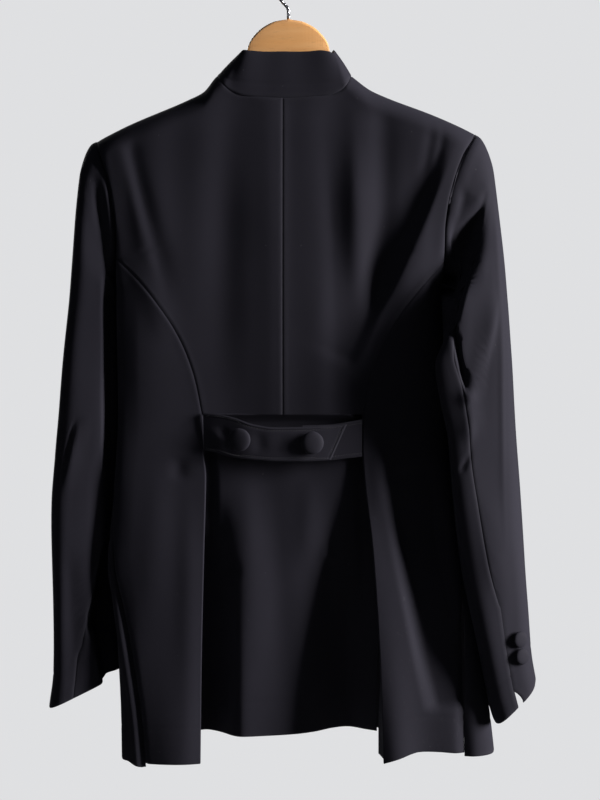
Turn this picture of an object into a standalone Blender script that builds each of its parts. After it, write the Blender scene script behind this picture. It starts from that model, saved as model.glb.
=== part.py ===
"""A long waisted jacket on a wooden hanger, hung by its hook.

Millimetres in the tables, metres in the meshes. +Z is up, the garment's front faces -Y and its back
faces +Y, +X is the wearer's left. The origin is the inner top of the hook. Every cloth piece is a closed
wall with two layers of points: the outer layer lies on the garment's form and the inner one is a wall's
thickness behind it.
"""
import math

import bmesh
import bpy
import numpy as np
from mathutils import Vector

MM = 0.001
CLOTH = 1.6  # wall of a panel
STIFF = 2.4  # wall of a collar or a strap: two layers and what stiffens them
SEAM = 0.3  # gap between two pieces sewn to each other
BACK_CENTRE = 6.0  # x of the centre-back seam
FRONT_CENTRE = 4.0  # x of the line where the two fronts cross
SHOULDER_ROUND = 45.0  # height over which the form rounds up to the shoulder ridge
FORM_POWER = 3.0  # squareness of the form's section
WAIST = -514.0
BACK_SKIRT_HEM = -870.0
UNDERARM_LEFT = -373.0
UNDERARM_RIGHT = -366.0
EDGE = 1e-5  # the angle just behind or before the very side
KEEP_OFF = 0.2  # half the least gap between the back and the front of the form


def table(names, *rows):
    """Rows of a table as named columns."""
    return dict(zip(names.split(), np.array(rows, float).T))


def run(rows, key, column, at):
    """One column of a table at other places of its key, on a smooth curve that keeps between its rows."""
    order = np.argsort(rows[key])
    keys = rows[key][order]
    values = rows[column][order]
    step = np.diff(keys)
    rise = np.diff(values) / step
    total = rise[:-1] + rise[1:]
    same = rise[:-1] * rise[1:] > 0
    slope = np.empty_like(values)
    slope[1:-1] = np.where(same, 2 * rise[:-1] * rise[1:] / np.where(same, total, 1), 0)
    slope[0] = rise[0]
    slope[-1] = rise[-1]
    at = np.clip(np.asarray(at, float), keys[0], keys[-1])
    i = np.clip(np.searchsorted(keys, at, side="right") - 1, 0, len(step) - 1)
    s = (at - keys[i]) / step[i]
    ends = (1 + 2 * s) * (1 - s) ** 2 * values[i] + s * s * (3 - 2 * s) * values[i + 1]
    slopes = step[i] * (s * (1 - s) ** 2 * slope[i] + s * s * (s - 1) * slope[i + 1])
    return ends + slopes


def ease(x):
    """Smooth step from 0 to 1."""
    x = np.clip(x, 0, 1)
    return x * x * (3 - 2 * x)


# ---------------------------------------------------------------- the garment's form

LEFT_SIDE = table(
    "z x",
    (-100, 226), (-160, 223), (-206, 215), (-238, 204), (-264, 196), (-294, 191), (-325, 189), (-373, 190),
    (-514, 189), (-600, 193), (-677, 197), (-725, 191), (-782, 187), (-846, 184), (-901, 183),
)
RIGHT_SIDE = table(
    "z x",
    (-100, -226), (-160, -221), (-198, -211), (-227, -194), (-256, -183), (-285, -176), (-314, -173),
    (-366, -173), (-450, -177), (-514, -180), (-612, -188), (-672, -196), (-725, -206), (-780, -216),
    (-835, -224), (-901, -231),
)
DEPTH = table(
    "z back front",
    (-100, 34, 38), (-163, 39, 50), (-206, 46, 61), (-290, 52, 74), (-373, 53, 80), (-440, 50, 79),
    (-514, 46, 74), (-600, 52, 77), (-700, 58, 79), (-901, 64, 80),
)
# Armhole: top and bottom heights, and how far it stands open behind and before the ridge line.
ARMHOLE = {
    "left": {"top": -206.0, "bottom": UNDERARM_LEFT, "back": 46.0, "front": 54.0},
    "right": {"top": -198.0, "bottom": UNDERARM_RIGHT, "back": 46.0, "front": 54.0},
}
ARMHOLE_POWER = 2.4
RIDGE = table(
    "x z",
    (-240, -211), (-211, -197), (-164, -176), (-109, -155), (-92, -147), (-72, -132), (-45, -112), (0, -108),
    (50, -112), (81, -132), (95, -149), (112, -158), (177, -186), (215, -205), (240, -217),
)
# Long soft folds: a line from top to bottom, its half width, and its height out of the form at both ends.
FOLDS = table(
    "x_top z_top x_bottom z_bottom width height_top height_bottom",
    (-128, -560, -164, -900, 34, 0, -46),
    (-98, -640, -118, -900, 20, 0, 7),
    (120, -520, 126, -900, 30, 0, 7),
)


def armhole_gap(side, face, z):
    """How far the armhole's edge stands from the ridge line at a height."""
    hole = ARMHOLE[side]
    part = np.clip((hole["top"] - z) / (hole["top"] - hole["bottom"]), 0, 1)
    return hole[face] * np.sqrt(np.clip(1 - np.abs(2 * part - 1) ** ARMHOLE_POWER, 0, 1))


def fold_height(x, z):
    """How far the soft folds lift the back of the form."""
    total = np.zeros(np.broadcast(x, z).shape)
    for top_x, top_z, low_x, low_z, width, high, low in zip(*FOLDS.values()):
        part = np.clip((top_z - z) / (top_z - low_z), 0, 1)
        crest = top_x + (low_x - top_x) * part
        height = high + (low - high) * part ** 1.4
        total = total + height * np.exp(-(((x - crest) / width) ** 2)) * (z < top_z)
    return total


def form(angle, z):
    """The garment's outer form. Angle 0 is the left side, half pi the back and pi the right side."""
    angle, z = np.broadcast_arrays(np.asarray(angle, float), np.asarray(z, float))
    left = run(LEFT_SIDE, "z", "x", z)
    right = run(RIGHT_SIDE, "z", "x", z)
    across = np.cos(angle)
    x = (left + right) / 2 + (left - right) / 2 * across
    is_back = np.sin(angle) > 0
    height = (1 - np.abs(across) ** FORM_POWER) ** (1 / FORM_POWER)
    to_left = across > 0
    gap_back, gap_front = (
        np.where(to_left, armhole_gap("left", face, z), armhole_gap("right", face, z))
        for face in ("back", "front")
    )
    back = gap_back + (run(DEPTH, "z", "back", z) - gap_back) * height
    front = gap_front + (run(DEPTH, "z", "front", z) - gap_front) * height
    under_ridge = np.clip((run(RIDGE, "x", "z", x) - z) / SHOULDER_ROUND, 0, 1)
    rounded = np.sqrt(1 - (1 - under_ridge) ** 2)
    depth = np.where(is_back, back + fold_height(x, z) * height, front) * rounded
    y = np.where(is_back, 1, -1) * np.maximum(depth, KEEP_OFF)
    return np.stack([x, y, z], axis=-1)


def back_y(x, z):
    """Depth of the back of the form at a place."""
    return form(back_angle(x, z), z)[..., 1]


def side_ratio(x, z):
    left = run(LEFT_SIDE, "z", "x", z)
    right = run(RIGHT_SIDE, "z", "x", z)
    return np.clip((x - (left + right) / 2) * 2 / (left - right), -1, 1)


def back_angle(x, z):
    return np.clip(np.arccos(side_ratio(x, z)), EDGE, math.pi - EDGE)


def front_angle(x, z, side):
    angle = np.arccos(side_ratio(x, z))
    return -np.maximum(angle, EDGE) if side == "left" else 2 * math.pi - np.minimum(angle, math.pi - EDGE)


# ---------------------------------------------------------------- walls from grids of points


def normals_of(surface, a, b, step=1e-3, step_b=0.5):
    """Outward normals of a surface given by a function of two values."""
    along_a = surface(a + step, b) - surface(a - step, b)
    along_b = surface(a, b + step_b) - surface(a, b - step_b)
    normal = np.cross(along_a, along_b)
    return normal / np.maximum(np.linalg.norm(normal, axis=-1, keepdims=True), 1e-9)


def grid_normals(points):
    """Normals of a grid of points, from its own rows and columns."""
    normal = np.cross(np.gradient(points, axis=1), np.gradient(points, axis=0))
    return normal / np.maximum(np.linalg.norm(normal, axis=-1, keepdims=True), 1e-9)


def finish_object(name, bm, colour, roughness, metallic=0.0, sharp=40.0):
    mesh = bpy.data.meshes.new(name)
    bm.to_mesh(mesh)
    bm.free()
    mesh.shade_smooth()
    mesh.set_sharp_from_angle(angle=math.radians(sharp))
    piece = bpy.data.objects.new(name, mesh)
    bpy.context.scene.collection.objects.link(piece)
    material = bpy.data.materials.new(name)
    material.use_nodes = True
    shader = material.node_tree.nodes["Principled BSDF"]
    shader.inputs["Base Color"].default_value = (*colour, 1.0)
    shader.inputs["Roughness"].default_value = roughness
    shader.inputs["Metallic"].default_value = metallic
    mesh.materials.append(material)
    return piece


SUITING = (0.014, 0.014, 0.018)
WOOD = (0.55, 0.27, 0.10)
STEEL = (0.55, 0.56, 0.58)


def cloth_wall(name, outer, inner, present=None, colour=SUITING, roughness=0.85):
    """A closed wall between two grids of points, with a rim round the cells that are present."""
    rows, columns = outer.shape[:2]
    if present is None:
        present = np.ones((rows - 1, columns - 1), bool)
    bm = bmesh.new()
    corners = {}

    def corner(layer, r, c):
        key = (layer, r, c)
        if key not in corners:
            corners[key] = bm.verts.new(Vector((outer, inner)[layer][r, c]) * MM)
        return corners[key]

    def face(*keys):
        bm.faces.new([corner(*key) for key in keys])

    for r in range(rows - 1):
        for c in range(columns - 1):
            if not present[r, c]:
                continue
            face((0, r, c), (0, r + 1, c), (0, r + 1, c + 1), (0, r, c + 1))
            face((1, r, c), (1, r, c + 1), (1, r + 1, c + 1), (1, r + 1, c))
            sides = (
                ((r - 1, c), (r, c + 1), (r, c)),
                ((r + 1, c), (r + 1, c), (r + 1, c + 1)),
                ((r, c - 1), (r, c), (r + 1, c)),
                ((r, c + 1), (r + 1, c + 1), (r, c + 1)),
            )
            for (nr, nc), first, last in sides:
                inside = 0 <= nr < rows - 1 and 0 <= nc < columns - 1
                if not (inside and present[nr, nc]):
                    face((0, *last), (0, *first), (1, *first), (1, *last))
    bmesh.ops.recalc_face_normals(bm, faces=bm.faces)
    bmesh.ops.triangulate(bm, faces=bm.faces)
    return finish_object(name, bm, colour, roughness)


def form_layers(angle, z, side):
    """The outer and the inner layer of a wall on the garment's form."""
    outer = form(angle, z)
    very_side = 0.0 if side == "left" else math.pi
    off_side = angle - very_side
    on_armhole = (np.abs(off_side) < ARMHOLE_PROBE) & (z > ARMHOLE[side]["bottom"] - 1)
    probe = np.where(on_armhole, very_side + np.sign(off_side) * ARMHOLE_PROBE, angle)
    inner = outer - CLOTH * outward(normals_of(form, probe, z), outer)
    face = np.sign(outer[..., 1])
    inner[..., 1] = face * np.maximum(face * inner[..., 1], KEEP_OFF)
    return outer, inner


ARMHOLE_PROBE = 3e-3  # normals on an armhole's edge are read this far inside it


def outward(normal, points):
    """Normals turned so that they point away from the form's middle line."""
    away = points * np.array([0.25, 1.0, 0.0]) + np.array([0.0, 0.0, 1e-3])
    turn = np.where(np.sum(normal * away, axis=-1, keepdims=True) < 0, -1.0, 1.0)
    return normal * turn


def patch(top, bottom, outer, inner, down, across):
    """A grid of (angle, z) filled in between four edges.

    Each edge is a pair of arrays. Columns run from the outer edge to the inner one, rows from top to hem."""
    edges = (top, bottom, outer, inner)
    top, bottom, outer, inner = (np.stack(np.broadcast_arrays(*edge), axis=-1) for edge in edges)
    u = np.asarray(across, float)[None, :, None]
    v = np.asarray(down, float)[:, None, None]
    corners = (
        (1 - u) * (1 - v) * top[None, :1] + u * (1 - v) * top[None, -1:]
        + (1 - u) * v * bottom[None, :1] + u * v * bottom[None, -1:]
    )
    between = (1 - v) * top[None] + v * bottom[None] + (1 - u) * outer[:, None] + u * inner[:, None]
    grid = between - corners
    return grid[..., 0], grid[..., 1]


def line(first, last, f):
    return first + (last - first) * f


# ---------------------------------------------------------------- seams

PRINCESS = table(
    "z out",
    (-335, 192), (-343, 183), (-360, 165), (-387, 142), (-419, 120), (-448, 106), (-479, 96), (-514, 89),
)
PLEAT_EDGE = table(
    "z left right",
    (-514, 95.5, -83.5), (-554, 94.5, -83.5), (-582, 91.5, -85), (-666, 93, -94), (-778, 95, -101),
    (-901, 96, -105),
)
# The side seam's turn towards the back, in degrees from the very side.
SIDE_SEAM = table(
    "z left right",
    (-366, 0, 0), (-575, 0, 0), (-620, 5, 0), (-669, 12.5, 4), (-720, 19.5, 14), (-768, 25.5, 23), (-812, 29, 28.5),
    (-857, 31.5, 32.5), (-901, 33, 34.5),
)
SIDE_SEAM_GAP = 0.0016  # half the gap, as a turn
NECK_BACK = table(
    "x z",
    (-72, -132), (-66, -146), (-59, -154), (-45, -159.5), (6, -163), (50, -160), (63, -155), (74, -145),
    (81, -132),
)
FRONT_EDGE = table(
    "z out",
    (-132, 77), (-160, 68), (-200, 46), (-260, 14), (-330, -26), (-400, -51), (-440, -57), (-901, -58),
)
NECK_POINT = {"left": 81.0, "right": -72.0}
NECK_POINT_Z = -132.0
PRINCESS_TOP = {"left": -343.0, "right": -345.0}
SIGN = {"left": 1.0, "right": -1.0}


def side_x(side, z):
    return run(LEFT_SIDE, "z", "x", z) if side == "left" else run(RIGHT_SIDE, "z", "x", z)


def side_angle(side, face):
    """The angle of the very side, on the back or the front of an armhole."""
    if side == "left":
        return EDGE if face == "back" else -EDGE
    return math.pi - EDGE if face == "back" else math.pi + EDGE


def princess_x(side, z, gap):
    seam = BACK_CENTRE + SIGN[side] * run(PRINCESS, "z", "out", z)
    return seam + SIGN[side] * gap


def side_seam(side, z, shift):
    """The angle of the side seam, moved towards the back by a shift."""
    turn = np.radians(run(SIDE_SEAM, "z", side, z)) + shift
    return turn if side == "left" else math.pi - turn


ARMHOLE_ROWS = 10
PRINCESS_ROWS = 7
SKIRT_ROWS = 10
PANEL_HEM = {"side_back": -894.0, "front": -898.0}


def levels(first, last, count):
    return np.linspace(first, last, count + 1)


RIDGE_GAP = 0.002  # drop from the ridge that leaves a seam's gap between front and back


def shoulder_levels(first, last):
    """Rows down from the shoulder: even steps round the shoulder's curve, then even heights."""
    turns = np.radians([0, 13, 27, 42, 60, 90])
    drops = SHOULDER_ROUND * (1 - np.cos(turns))
    return join(first - drops, levels(first - drops[-1], last, ARMHOLE_ROWS - len(turns) + 1))


def skirt_levels(piece):
    """Level rows below the waist, the same for all pieces but for the hem itself."""
    rows = levels(WAIST, PANEL_HEM["side_back"], SKIRT_ROWS)[1:]
    rows[-1] = PANEL_HEM[piece]
    return rows


def join(*runs):
    """Runs of places end to end, each starting where the last one stopped."""
    return np.concatenate([runs[0]] + [part[1:] for part in runs[1:]])


NECK_COLUMNS = 5
SHOULDER_SHARES = np.array([0, 0.03, 0.08, 0.15, 0.25, 0.36, 0.48, 0.61, 0.74, 0.87, 1.0])


def upper_back(side):
    """Upper back: shoulder and neck seam, centre-back seam, waist, princess seam and armhole."""
    shoulder_z = ARMHOLE[side]["top"]
    waist_z = WAIST + SEAM
    centre_x = BACK_CENTRE + SIGN[side] * SEAM / 2
    neck_part = 0.6
    across = join(SHOULDER_SHARES * neck_part, levels(neck_part, 1.0, NECK_COLUMNS))
    on_ridge = across <= neck_part
    ridge_x = line(side_x(side, shoulder_z), NECK_POINT[side], across / neck_part)
    neck_turn = (across - neck_part) / (1 - neck_part) * math.pi / 2
    neck_x = line(centre_x, NECK_POINT[side], np.cos(neck_turn))
    top_x = np.where(on_ridge, ridge_x, neck_x)
    top_z = np.where(on_ridge, run(RIDGE, "x", "z", top_x) - RIDGE_GAP, run(NECK_BACK, "x", "z", top_x))
    top_z[0] = shoulder_z
    top_angle = back_angle(top_x, top_z)
    top_angle[0] = side_angle(side, "back")
    outer_z = join(
        shoulder_levels(shoulder_z, PRINCESS_TOP[side]),
        levels(PRINCESS_TOP[side], waist_z, PRINCESS_ROWS),
    )
    outer_angle = back_angle(princess_x(side, outer_z, -SEAM / 2), outer_z)
    outer_angle[: ARMHOLE_ROWS + 1] = side_angle(side, "back")
    down = (shoulder_z - outer_z) / (shoulder_z - waist_z)
    inner_z = line(top_z[-1], waist_z, down)
    bottom_x = line(princess_x(side, waist_z, -SEAM / 2), centre_x, across)
    angle, z = patch(
        (top_angle, top_z),
        (back_angle(bottom_x, waist_z), waist_z),
        (outer_angle, outer_z),
        (back_angle(centre_x, inner_z), inner_z),
        down, across,
    )
    outer, inner = form_layers(angle, z, side)
    cloth_wall(f"back_{side}", outer, inner)


def front(side):
    """Front: shoulder, crossing front edge, hem, side seam and armhole. The right one lies on top."""
    shoulder_z = ARMHOLE[side]["top"]
    under_z = ARMHOLE[side]["bottom"]
    hem = PANEL_HEM["front"]
    across = SHOULDER_SHARES
    top_x = line(side_x(side, shoulder_z), NECK_POINT[side], across)
    top_z = run(RIDGE, "x", "z", top_x) - RIDGE_GAP
    top_z[0] = shoulder_z
    top_angle = front_angle(top_x, top_z, side)
    top_angle[0] = side_angle(side, "front")
    outer_z = join(
        shoulder_levels(shoulder_z, under_z), levels(under_z, WAIST, PRINCESS_ROWS),
        np.append(WAIST, skirt_levels("front")),
    )
    outer_angle = side_seam(side, outer_z, -SIDE_SEAM_GAP)
    outer_angle[: ARMHOLE_ROWS + 1] = side_angle(side, "front")
    upper_rows = ARMHOLE_ROWS + PRINCESS_ROWS + 1
    inner_z = outer_z.copy()
    to_waist = (shoulder_z - outer_z[:upper_rows]) / (shoulder_z - WAIST)
    inner_z[:upper_rows] = line(top_z[-1], WAIST, to_waist)
    edge_x = FRONT_CENTRE + SIGN[side] * run(FRONT_EDGE, "z", "out", inner_z)
    inner_angle = front_angle(edge_x, inner_z, side)
    down = (shoulder_z - outer_z) / (shoulder_z - hem)
    angle, z = patch(
        (top_angle, top_z),
        (line(outer_angle[-1], inner_angle[-1], across), hem),
        (outer_angle, outer_z),
        (inner_angle, inner_z),
        down, across,
    )
    outer, inner = form_layers(angle, z, side)
    if side == "left":
        lies = ease((130 - outer[..., 0]) / 45) * ease((-outer[..., 1] - 15) / 15) * ease((-210 - z) / 55)
        dip = (outer - inner) / CLOTH * (UNDERLAP * lies)[..., None]
        outer = outer - dip
        inner = inner - dip
    cloth_wall(f"front_{side}", outer, inner)


UNDERLAP = 3.0  # how far the left front dips under the right one
PLY_LENGTH_AT_WAIST = 43.0
# Where a pleat's return ply meets the back skirt at the hem.
PLY_FOOT = {"left": (101.0, 16.0), "right": (-101.0, 22.0)}


def ply_foot(side, z):
    """Inner end of the pleat's return ply: folded flat at the waist, standing open at the hem."""
    opened = ease((WAIST - z) / (WAIST - BACK_SKIRT_HEM)) ** 0.8
    edge = run(PLEAT_EDGE, "z", side, z)
    flat_x = edge + SIGN[side] * PLY_LENGTH_AT_WAIST
    flat_y = back_y(flat_x, z) - 5.4
    foot_x, foot_y = PLY_FOOT[side]
    return line(flat_x, foot_x, opened), line(flat_y, foot_y, opened), opened


def side_back(side):
    """Side back: armhole to hem; below the waist its inner edge folds back as the pleat's return ply."""
    top_z = PRINCESS_TOP[side] - SEAM
    under_z = ARMHOLE[side]["bottom"]
    sign = SIGN[side]
    across = np.array([0, 0.08, 0.18, 0.3, 0.45, 0.6, 0.8, 1.0])
    last = len(across) - 1
    top_z_run = line(under_z, top_z, across)
    top_angle = np.full(len(across), side_angle(side, "back"))
    outer_z = levels(under_z, WAIST, PRINCESS_ROWS)
    outer_angle = side_seam(side, outer_z, SIDE_SEAM_GAP)
    top_angle[0] = outer_angle[0]
    inner_z = levels(top_z, WAIST, PRINCESS_ROWS)
    inner_angle = back_angle(princess_x(side, inner_z, SEAM / 2), inner_z)
    inner_angle[0] = top_angle[-1]
    angle, z = patch(
        (top_angle, top_z_run),
        (line(outer_angle[-1], inner_angle[-1], across), WAIST),
        (outer_angle, outer_z),
        (inner_angle, inner_z),
        np.linspace(0, 1, PRINCESS_ROWS + 1), across,
    )
    low_z = skirt_levels("side_back")
    low_angle = line(
        side_seam(side, low_z, SIDE_SEAM_GAP)[:, None],
        back_angle(run(PLEAT_EDGE, "z", side, low_z), low_z)[:, None],
        across[None, :],
    )
    angle = np.concatenate([angle, low_angle])
    z = np.concatenate([z, np.broadcast_to(low_z[:, None], low_angle.shape)])
    main, inside = form_layers(angle, z, side)
    normal = (main - inside) / CLOTH
    rows = z[:, 0]

    turn_x = np.array([-1.3, -1.5, 0.6, 4.0])
    turn_y = np.array([-0.7, -3.2, -5.0, -5.4])
    ply = np.zeros((len(rows), 4 + 3, 3))
    for r in range(len(rows)):
        level = z[r, -1]
        edge = main[r, -1]
        foot_x, foot_y, opened = ply_foot(side, level)
        closed_y = turn_y * line(1.0, 1.15, opened)
        ply[r, :4, 0] = edge[0] + sign * turn_x * line(1.0, 0.5, opened)
        ply[r, :4, 1] = edge[1] + closed_y
        ply[r, :4, 2] = level
        for k in range(3):
            part = (k + 1) / 3
            ply[r, 4 + k, 0] = line(ply[r, 3, 0], foot_x, part)
            ply[r, 4 + k, 1] = line(ply[r, 3, 1], foot_y, part)
            if opened < 0.15:
                closed = back_y(ply[r, 4 + k, 0], level) - 5.4
                ply[r, 4 + k, 1] = line(closed, ply[r, 4 + k, 1], opened / 0.15)
            ply[r, 4 + k, 2] = level
    points = np.concatenate([main, ply], axis=1)
    own = grid_normals(points)
    own = own * np.where(np.sum(own[:, 3:4] * normal[:, 3:4], axis=-1, keepdims=True) < 0, -1.0, 1.0)
    own[:, :last] = normal[:, :-1]
    own[:PRINCESS_ROWS, last] = normal[:PRINCESS_ROWS, -1]
    present = np.ones((len(rows) - 1, points.shape[1] - 1), bool)
    present[:PRINCESS_ROWS, last:] = False
    cloth_wall(f"side_back_{side}", points, points - CLOTH * own, present)


# Back skirt at its hem: places across the cloth from left to right, as a share of its width.
SKIRT_HEM_LINE = table(
    "share x y",
    (0.0, 99, 14), (0.06, 92, 11), (0.14, 78, 20), (0.27, 52, 46), (0.41, 21, 41), (0.55, -10, 33),
    (0.66, -32, 20), (0.77, -49, 4), (0.85, -67, -4), (0.95, -88, 11), (1.0, -99, 18),
)


def back_skirt():
    """One piece below the waist, tucked under both side backs: flat at the waist, deeply waved at the hem."""
    shares = np.linspace(0, 1, 17)
    down = np.array([0, 0.05, 0.12, 0.25, 0.4, 0.55, 0.7, 0.85, 1])
    rows = line(WAIST - SEAM, BACK_SKIRT_HEM, down)
    points = np.zeros((len(rows), len(shares), 3))
    for r, level in enumerate(rows):
        left_x, left_y, opened = ply_foot("left", level)
        right_x, right_y, _ = ply_foot("right", level)
        flat_x = line(left_x, right_x, shares)
        left_edge = run(PLEAT_EDGE, "z", "left", level)
        right_edge = run(PLEAT_EDGE, "z", "right", level)
        inner_edge = np.minimum(left_edge - flat_x, flat_x - right_edge)
        under = 1 - ease((inner_edge - 4) / 12)
        tucked = line(5.0, 10.2, under) * ease((WAIST - level) / 26)
        tucked = np.maximum(tucked, 10.2 * under)
        flat_y = back_y(flat_x, level) - tucked
        waved_x = run(SKIRT_HEM_LINE, "share", "x", shares)
        waved_y = run(SKIRT_HEM_LINE, "share", "y", shares)
        hang = ease((WAIST - level) / (WAIST - BACK_SKIRT_HEM)) ** 0.8
        points[r, :, 0] = line(flat_x, waved_x, hang)
        points[r, :, 1] = line(flat_y, waved_y, hang)
        points[r, :, 2] = level
    normal = grid_normals(points)
    normal = normal * np.where(normal[0, 8, 1] < 0, -1.0, 1.0)
    cloth_wall("back_skirt", points, points - CLOTH * normal)


# ---------------------------------------------------------------- sleeves

SLEEVE_COLUMNS = "ring z lift x_out x_in y depth yaw drop"
SLEEVE = {
    "left": table(
        SLEEVE_COLUMNS,
        (0, -289.5, 83, 217, 196, 0, 50, 0, 0), (1, -294, 80, 225, 197, -1, 57, 0, 0),
        (2, -308, 69, 233, 196.5, -3, 61, 0, 0), (3, -334, 48, 239, 193, -4, 63, 0, 0),
        (4, -364, 24, 242, 191.8, -5, 64, 2, 0), (5, -398, 3, 245.5, 191.4, -6, 64, 4, 0),
        (6, -450, 0, 251, 190.9, -7, 64, 5, 0), (7, -505, 0, 256, 190.6, -8, 64, 6, 0),
        (8, -560, 0, 261, 192.4, -10, 64, 7, 0), (9, -612, 0, 263.5, 195.2, -12, 64, 7, 0),
        (10, -672, 0, 262.5, 198.6, -14, 64, 7, 0), (11, -730, 0, 262, 194, -16, 65, 7, 2),
        (12, -785, -9, 261, 190.5, -18, 66, 8, 5), (13, -818, -18, 265, 188.5, -18, 66, 8, 5),
    ),
    "right": table(
        SLEEVE_COLUMNS,
        (0, -282, 83, -213, -179.5, 0, 50, 0, 0), (1, -287, 80, -222, -180, -1, 57, 0, 0),
        (2, -302, 69, -231, -180, -2, 61, 0, 0), (3, -329, 49, -238, -177, -2, 64, 0, 0),
        (4, -358, 26, -242, -175.4, 0, 66, 3, 0), (5, -392, 3, -246, -176, 2, 67, 6, 0),
        (6, -447, 0, -250, -178.4, 2, 67, 8, 0), (7, -505, 0, -254, -181.2, 0, 66, 10, 0),
        (8, -560, 0, -257.5, -185.2, -2, 65, 10, 0), (9, -612, 0, -261, -189.8, -4, 64, 10, 0),
        (10, -672, 0, -266, -198, -6, 64, 10, 0), (11, -730, 2, -270, -210.5, -8, 64, 10, 0),
        (12, -788, 11, -274, -224, -10, 64, 10, 3), (13, -832, 22, -280, -233, -10, 64, 10, 4),
    ),
}
SLEEVE_POWER = 2.3
LAST_RING = 13
# The back seam's turn round each sleeve in degrees: on the inner side at the armhole, further out at the cuff.
BACK_SEAM = {
    "left": table(
        "ring turn",
        (0, 150), (8, 150), (10, 132), (11, 112), (11.6, 97), (12.2, 88), (13, 86),
    ),
    "right": table(
        "ring turn",
        (0, 150), (3, 147), (4, 134), (5, 121), (6, 109), (6.7, 101), (7.5, 99), (8, 99), (9, 96), (10, 93),
        (11, 90), (13, 90),
    ),
}
FRONT_SEAM = math.radians(246)
SEAM_TURN = 0.006


def signed_power(value, power):
    return np.sign(value) * np.abs(value) ** power


def sleeve_form(side):
    """The sleeve's outer form: angle 0 is its outer side, quarter turn its back; ring 0 is the armhole."""
    rows = SLEEVE[side]
    sign = SIGN[side]

    def surface(angle, ring):
        angle, ring = np.broadcast_arrays(np.asarray(angle, float), np.asarray(ring, float))
        get = {name: run(rows, "ring", name, ring) for name in SLEEVE_COLUMNS.split()[1:]}
        yaw = np.radians(get["yaw"])
        half = (get["x_out"] - get["x_in"]) / 2
        round_x = signed_power(np.cos(angle), 2 / SLEEVE_POWER)
        round_y = signed_power(np.sin(angle), 2 / SLEEVE_POWER)
        x = (get["x_out"] + get["x_in"]) / 2
        x = x + half * np.cos(yaw) * round_x + get["depth"] * np.sin(yaw) * round_y
        y = get["y"] - half * np.sin(yaw) * round_x + get["depth"] * np.cos(yaw) * round_y
        z = get["z"] + get["lift"] * round_x - get["drop"] * round_y
        tube = np.stack([x, y, z], axis=-1)

        hole = ARMHOLE[side]
        top, bottom = hole["top"] - RIDGE_GAP, hole["bottom"] - 1.2
        hole_z = (top + bottom) / 2 + (top - bottom) / 2 * np.cos(angle)
        back = armhole_gap(side, "back", hole_z)
        front_gap = armhole_gap(side, "front", hole_z)
        edge_x = side_x(side, hole_z)
        under_ridge = np.clip((run(RIDGE, "x", "z", edge_x) - hole_z) / SHOULDER_ROUND, 0, 1)
        rounded = np.sqrt(1 - (1 - under_ridge) ** 2)
        hole_y = np.where(np.sin(angle) > 0, back, -front_gap) * rounded
        loop = np.stack([edge_x + sign * SLEEVE_OFF, hole_y, hole_z], axis=-1)
        blend = ease(ring / 2.2)[..., None]
        return loop * (1 - blend) + tube * blend

    return surface


SLEEVE_OFF = 0.7


SLEEVE_RINGS = np.array([0, 0.35, 0.8, 1.4, 2.1, 3, 4, 5, 6, 7, 8, 9, 10, 11, 12, 13], float)


def sleeve_piece(name, side, first, last, count):
    """One half of a sleeve, between two edges given as an angle for each ring."""
    surface = sleeve_form(side)
    rings = SLEEVE_RINGS
    part = np.linspace(0, 1, count)[None, :]
    angle = line(np.broadcast_to(first, rings.shape)[:, None], np.broadcast_to(last, rings.shape)[:, None], part)
    ring = np.broadcast_to(rings[:, None], angle.shape)
    outer = surface(angle, ring)
    normal = normals_of(surface, angle, np.clip(ring, 0.05, LAST_RING - 0.05), 2e-3, 0.04)
    whole = surface(np.linspace(0, 2 * math.pi, 24, endpoint=False)[None, :], rings[:, None])
    centre = whole.mean(axis=1, keepdims=True)
    turn = np.where(np.sum(normal * (outer - centre), axis=-1, keepdims=True) < 0, -1.0, 1.0)
    cloth_wall(name, outer, outer - CLOTH * normal * turn)


def sleeve(side):
    back_seam = np.radians(run(BACK_SEAM[side], "ring", "turn", SLEEVE_RINGS))
    front_seam = FRONT_SEAM - 2 * math.pi
    sleeve_piece(f"sleeve_top_{side}", side, front_seam + SEAM_TURN, back_seam - SEAM_TURN, 12)
    sleeve_piece(f"sleeve_under_{side}", side, back_seam + SEAM_TURN, FRONT_SEAM - SEAM_TURN, 8)


# ---------------------------------------------------------------- collar

COLLAR_END_Z = -235.0
COLLAR = table(
    "share rise left right",
    (0.0, 55, 8, 8), (0.15, 53, 9, 9), (0.3, 41, 17, 12), (0.5, 25, 29.6, 21.6), (0.6, 23, 18, 15),
    (0.75, 17, 11, 11), (1.0, 5, 5, 5),
)


def neckline(side, share):
    """Places on the neck seam: 0 at the centre back, half at the neck point, 1 where the collar ends."""
    on_back = np.clip(share * 2, 0, 1)
    x = BACK_CENTRE + (NECK_POINT[side] - BACK_CENTRE) * np.sin(on_back * math.pi / 2)
    z_back = run(NECK_BACK, "x", "z", x)
    behind = form(back_angle(x, z_back), z_back)
    on_front = np.clip(share * 2 - 1, 0, 1)
    z_front = NECK_POINT_Z + (COLLAR_END_Z - NECK_POINT_Z) * on_front ** 1.3
    edge_x = FRONT_CENTRE + SIGN[side] * run(FRONT_EDGE, "z", "out", z_front)
    before = form(front_angle(edge_x, z_front, side), z_front)
    return np.where((share <= 0.5)[..., None], behind, before)


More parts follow.
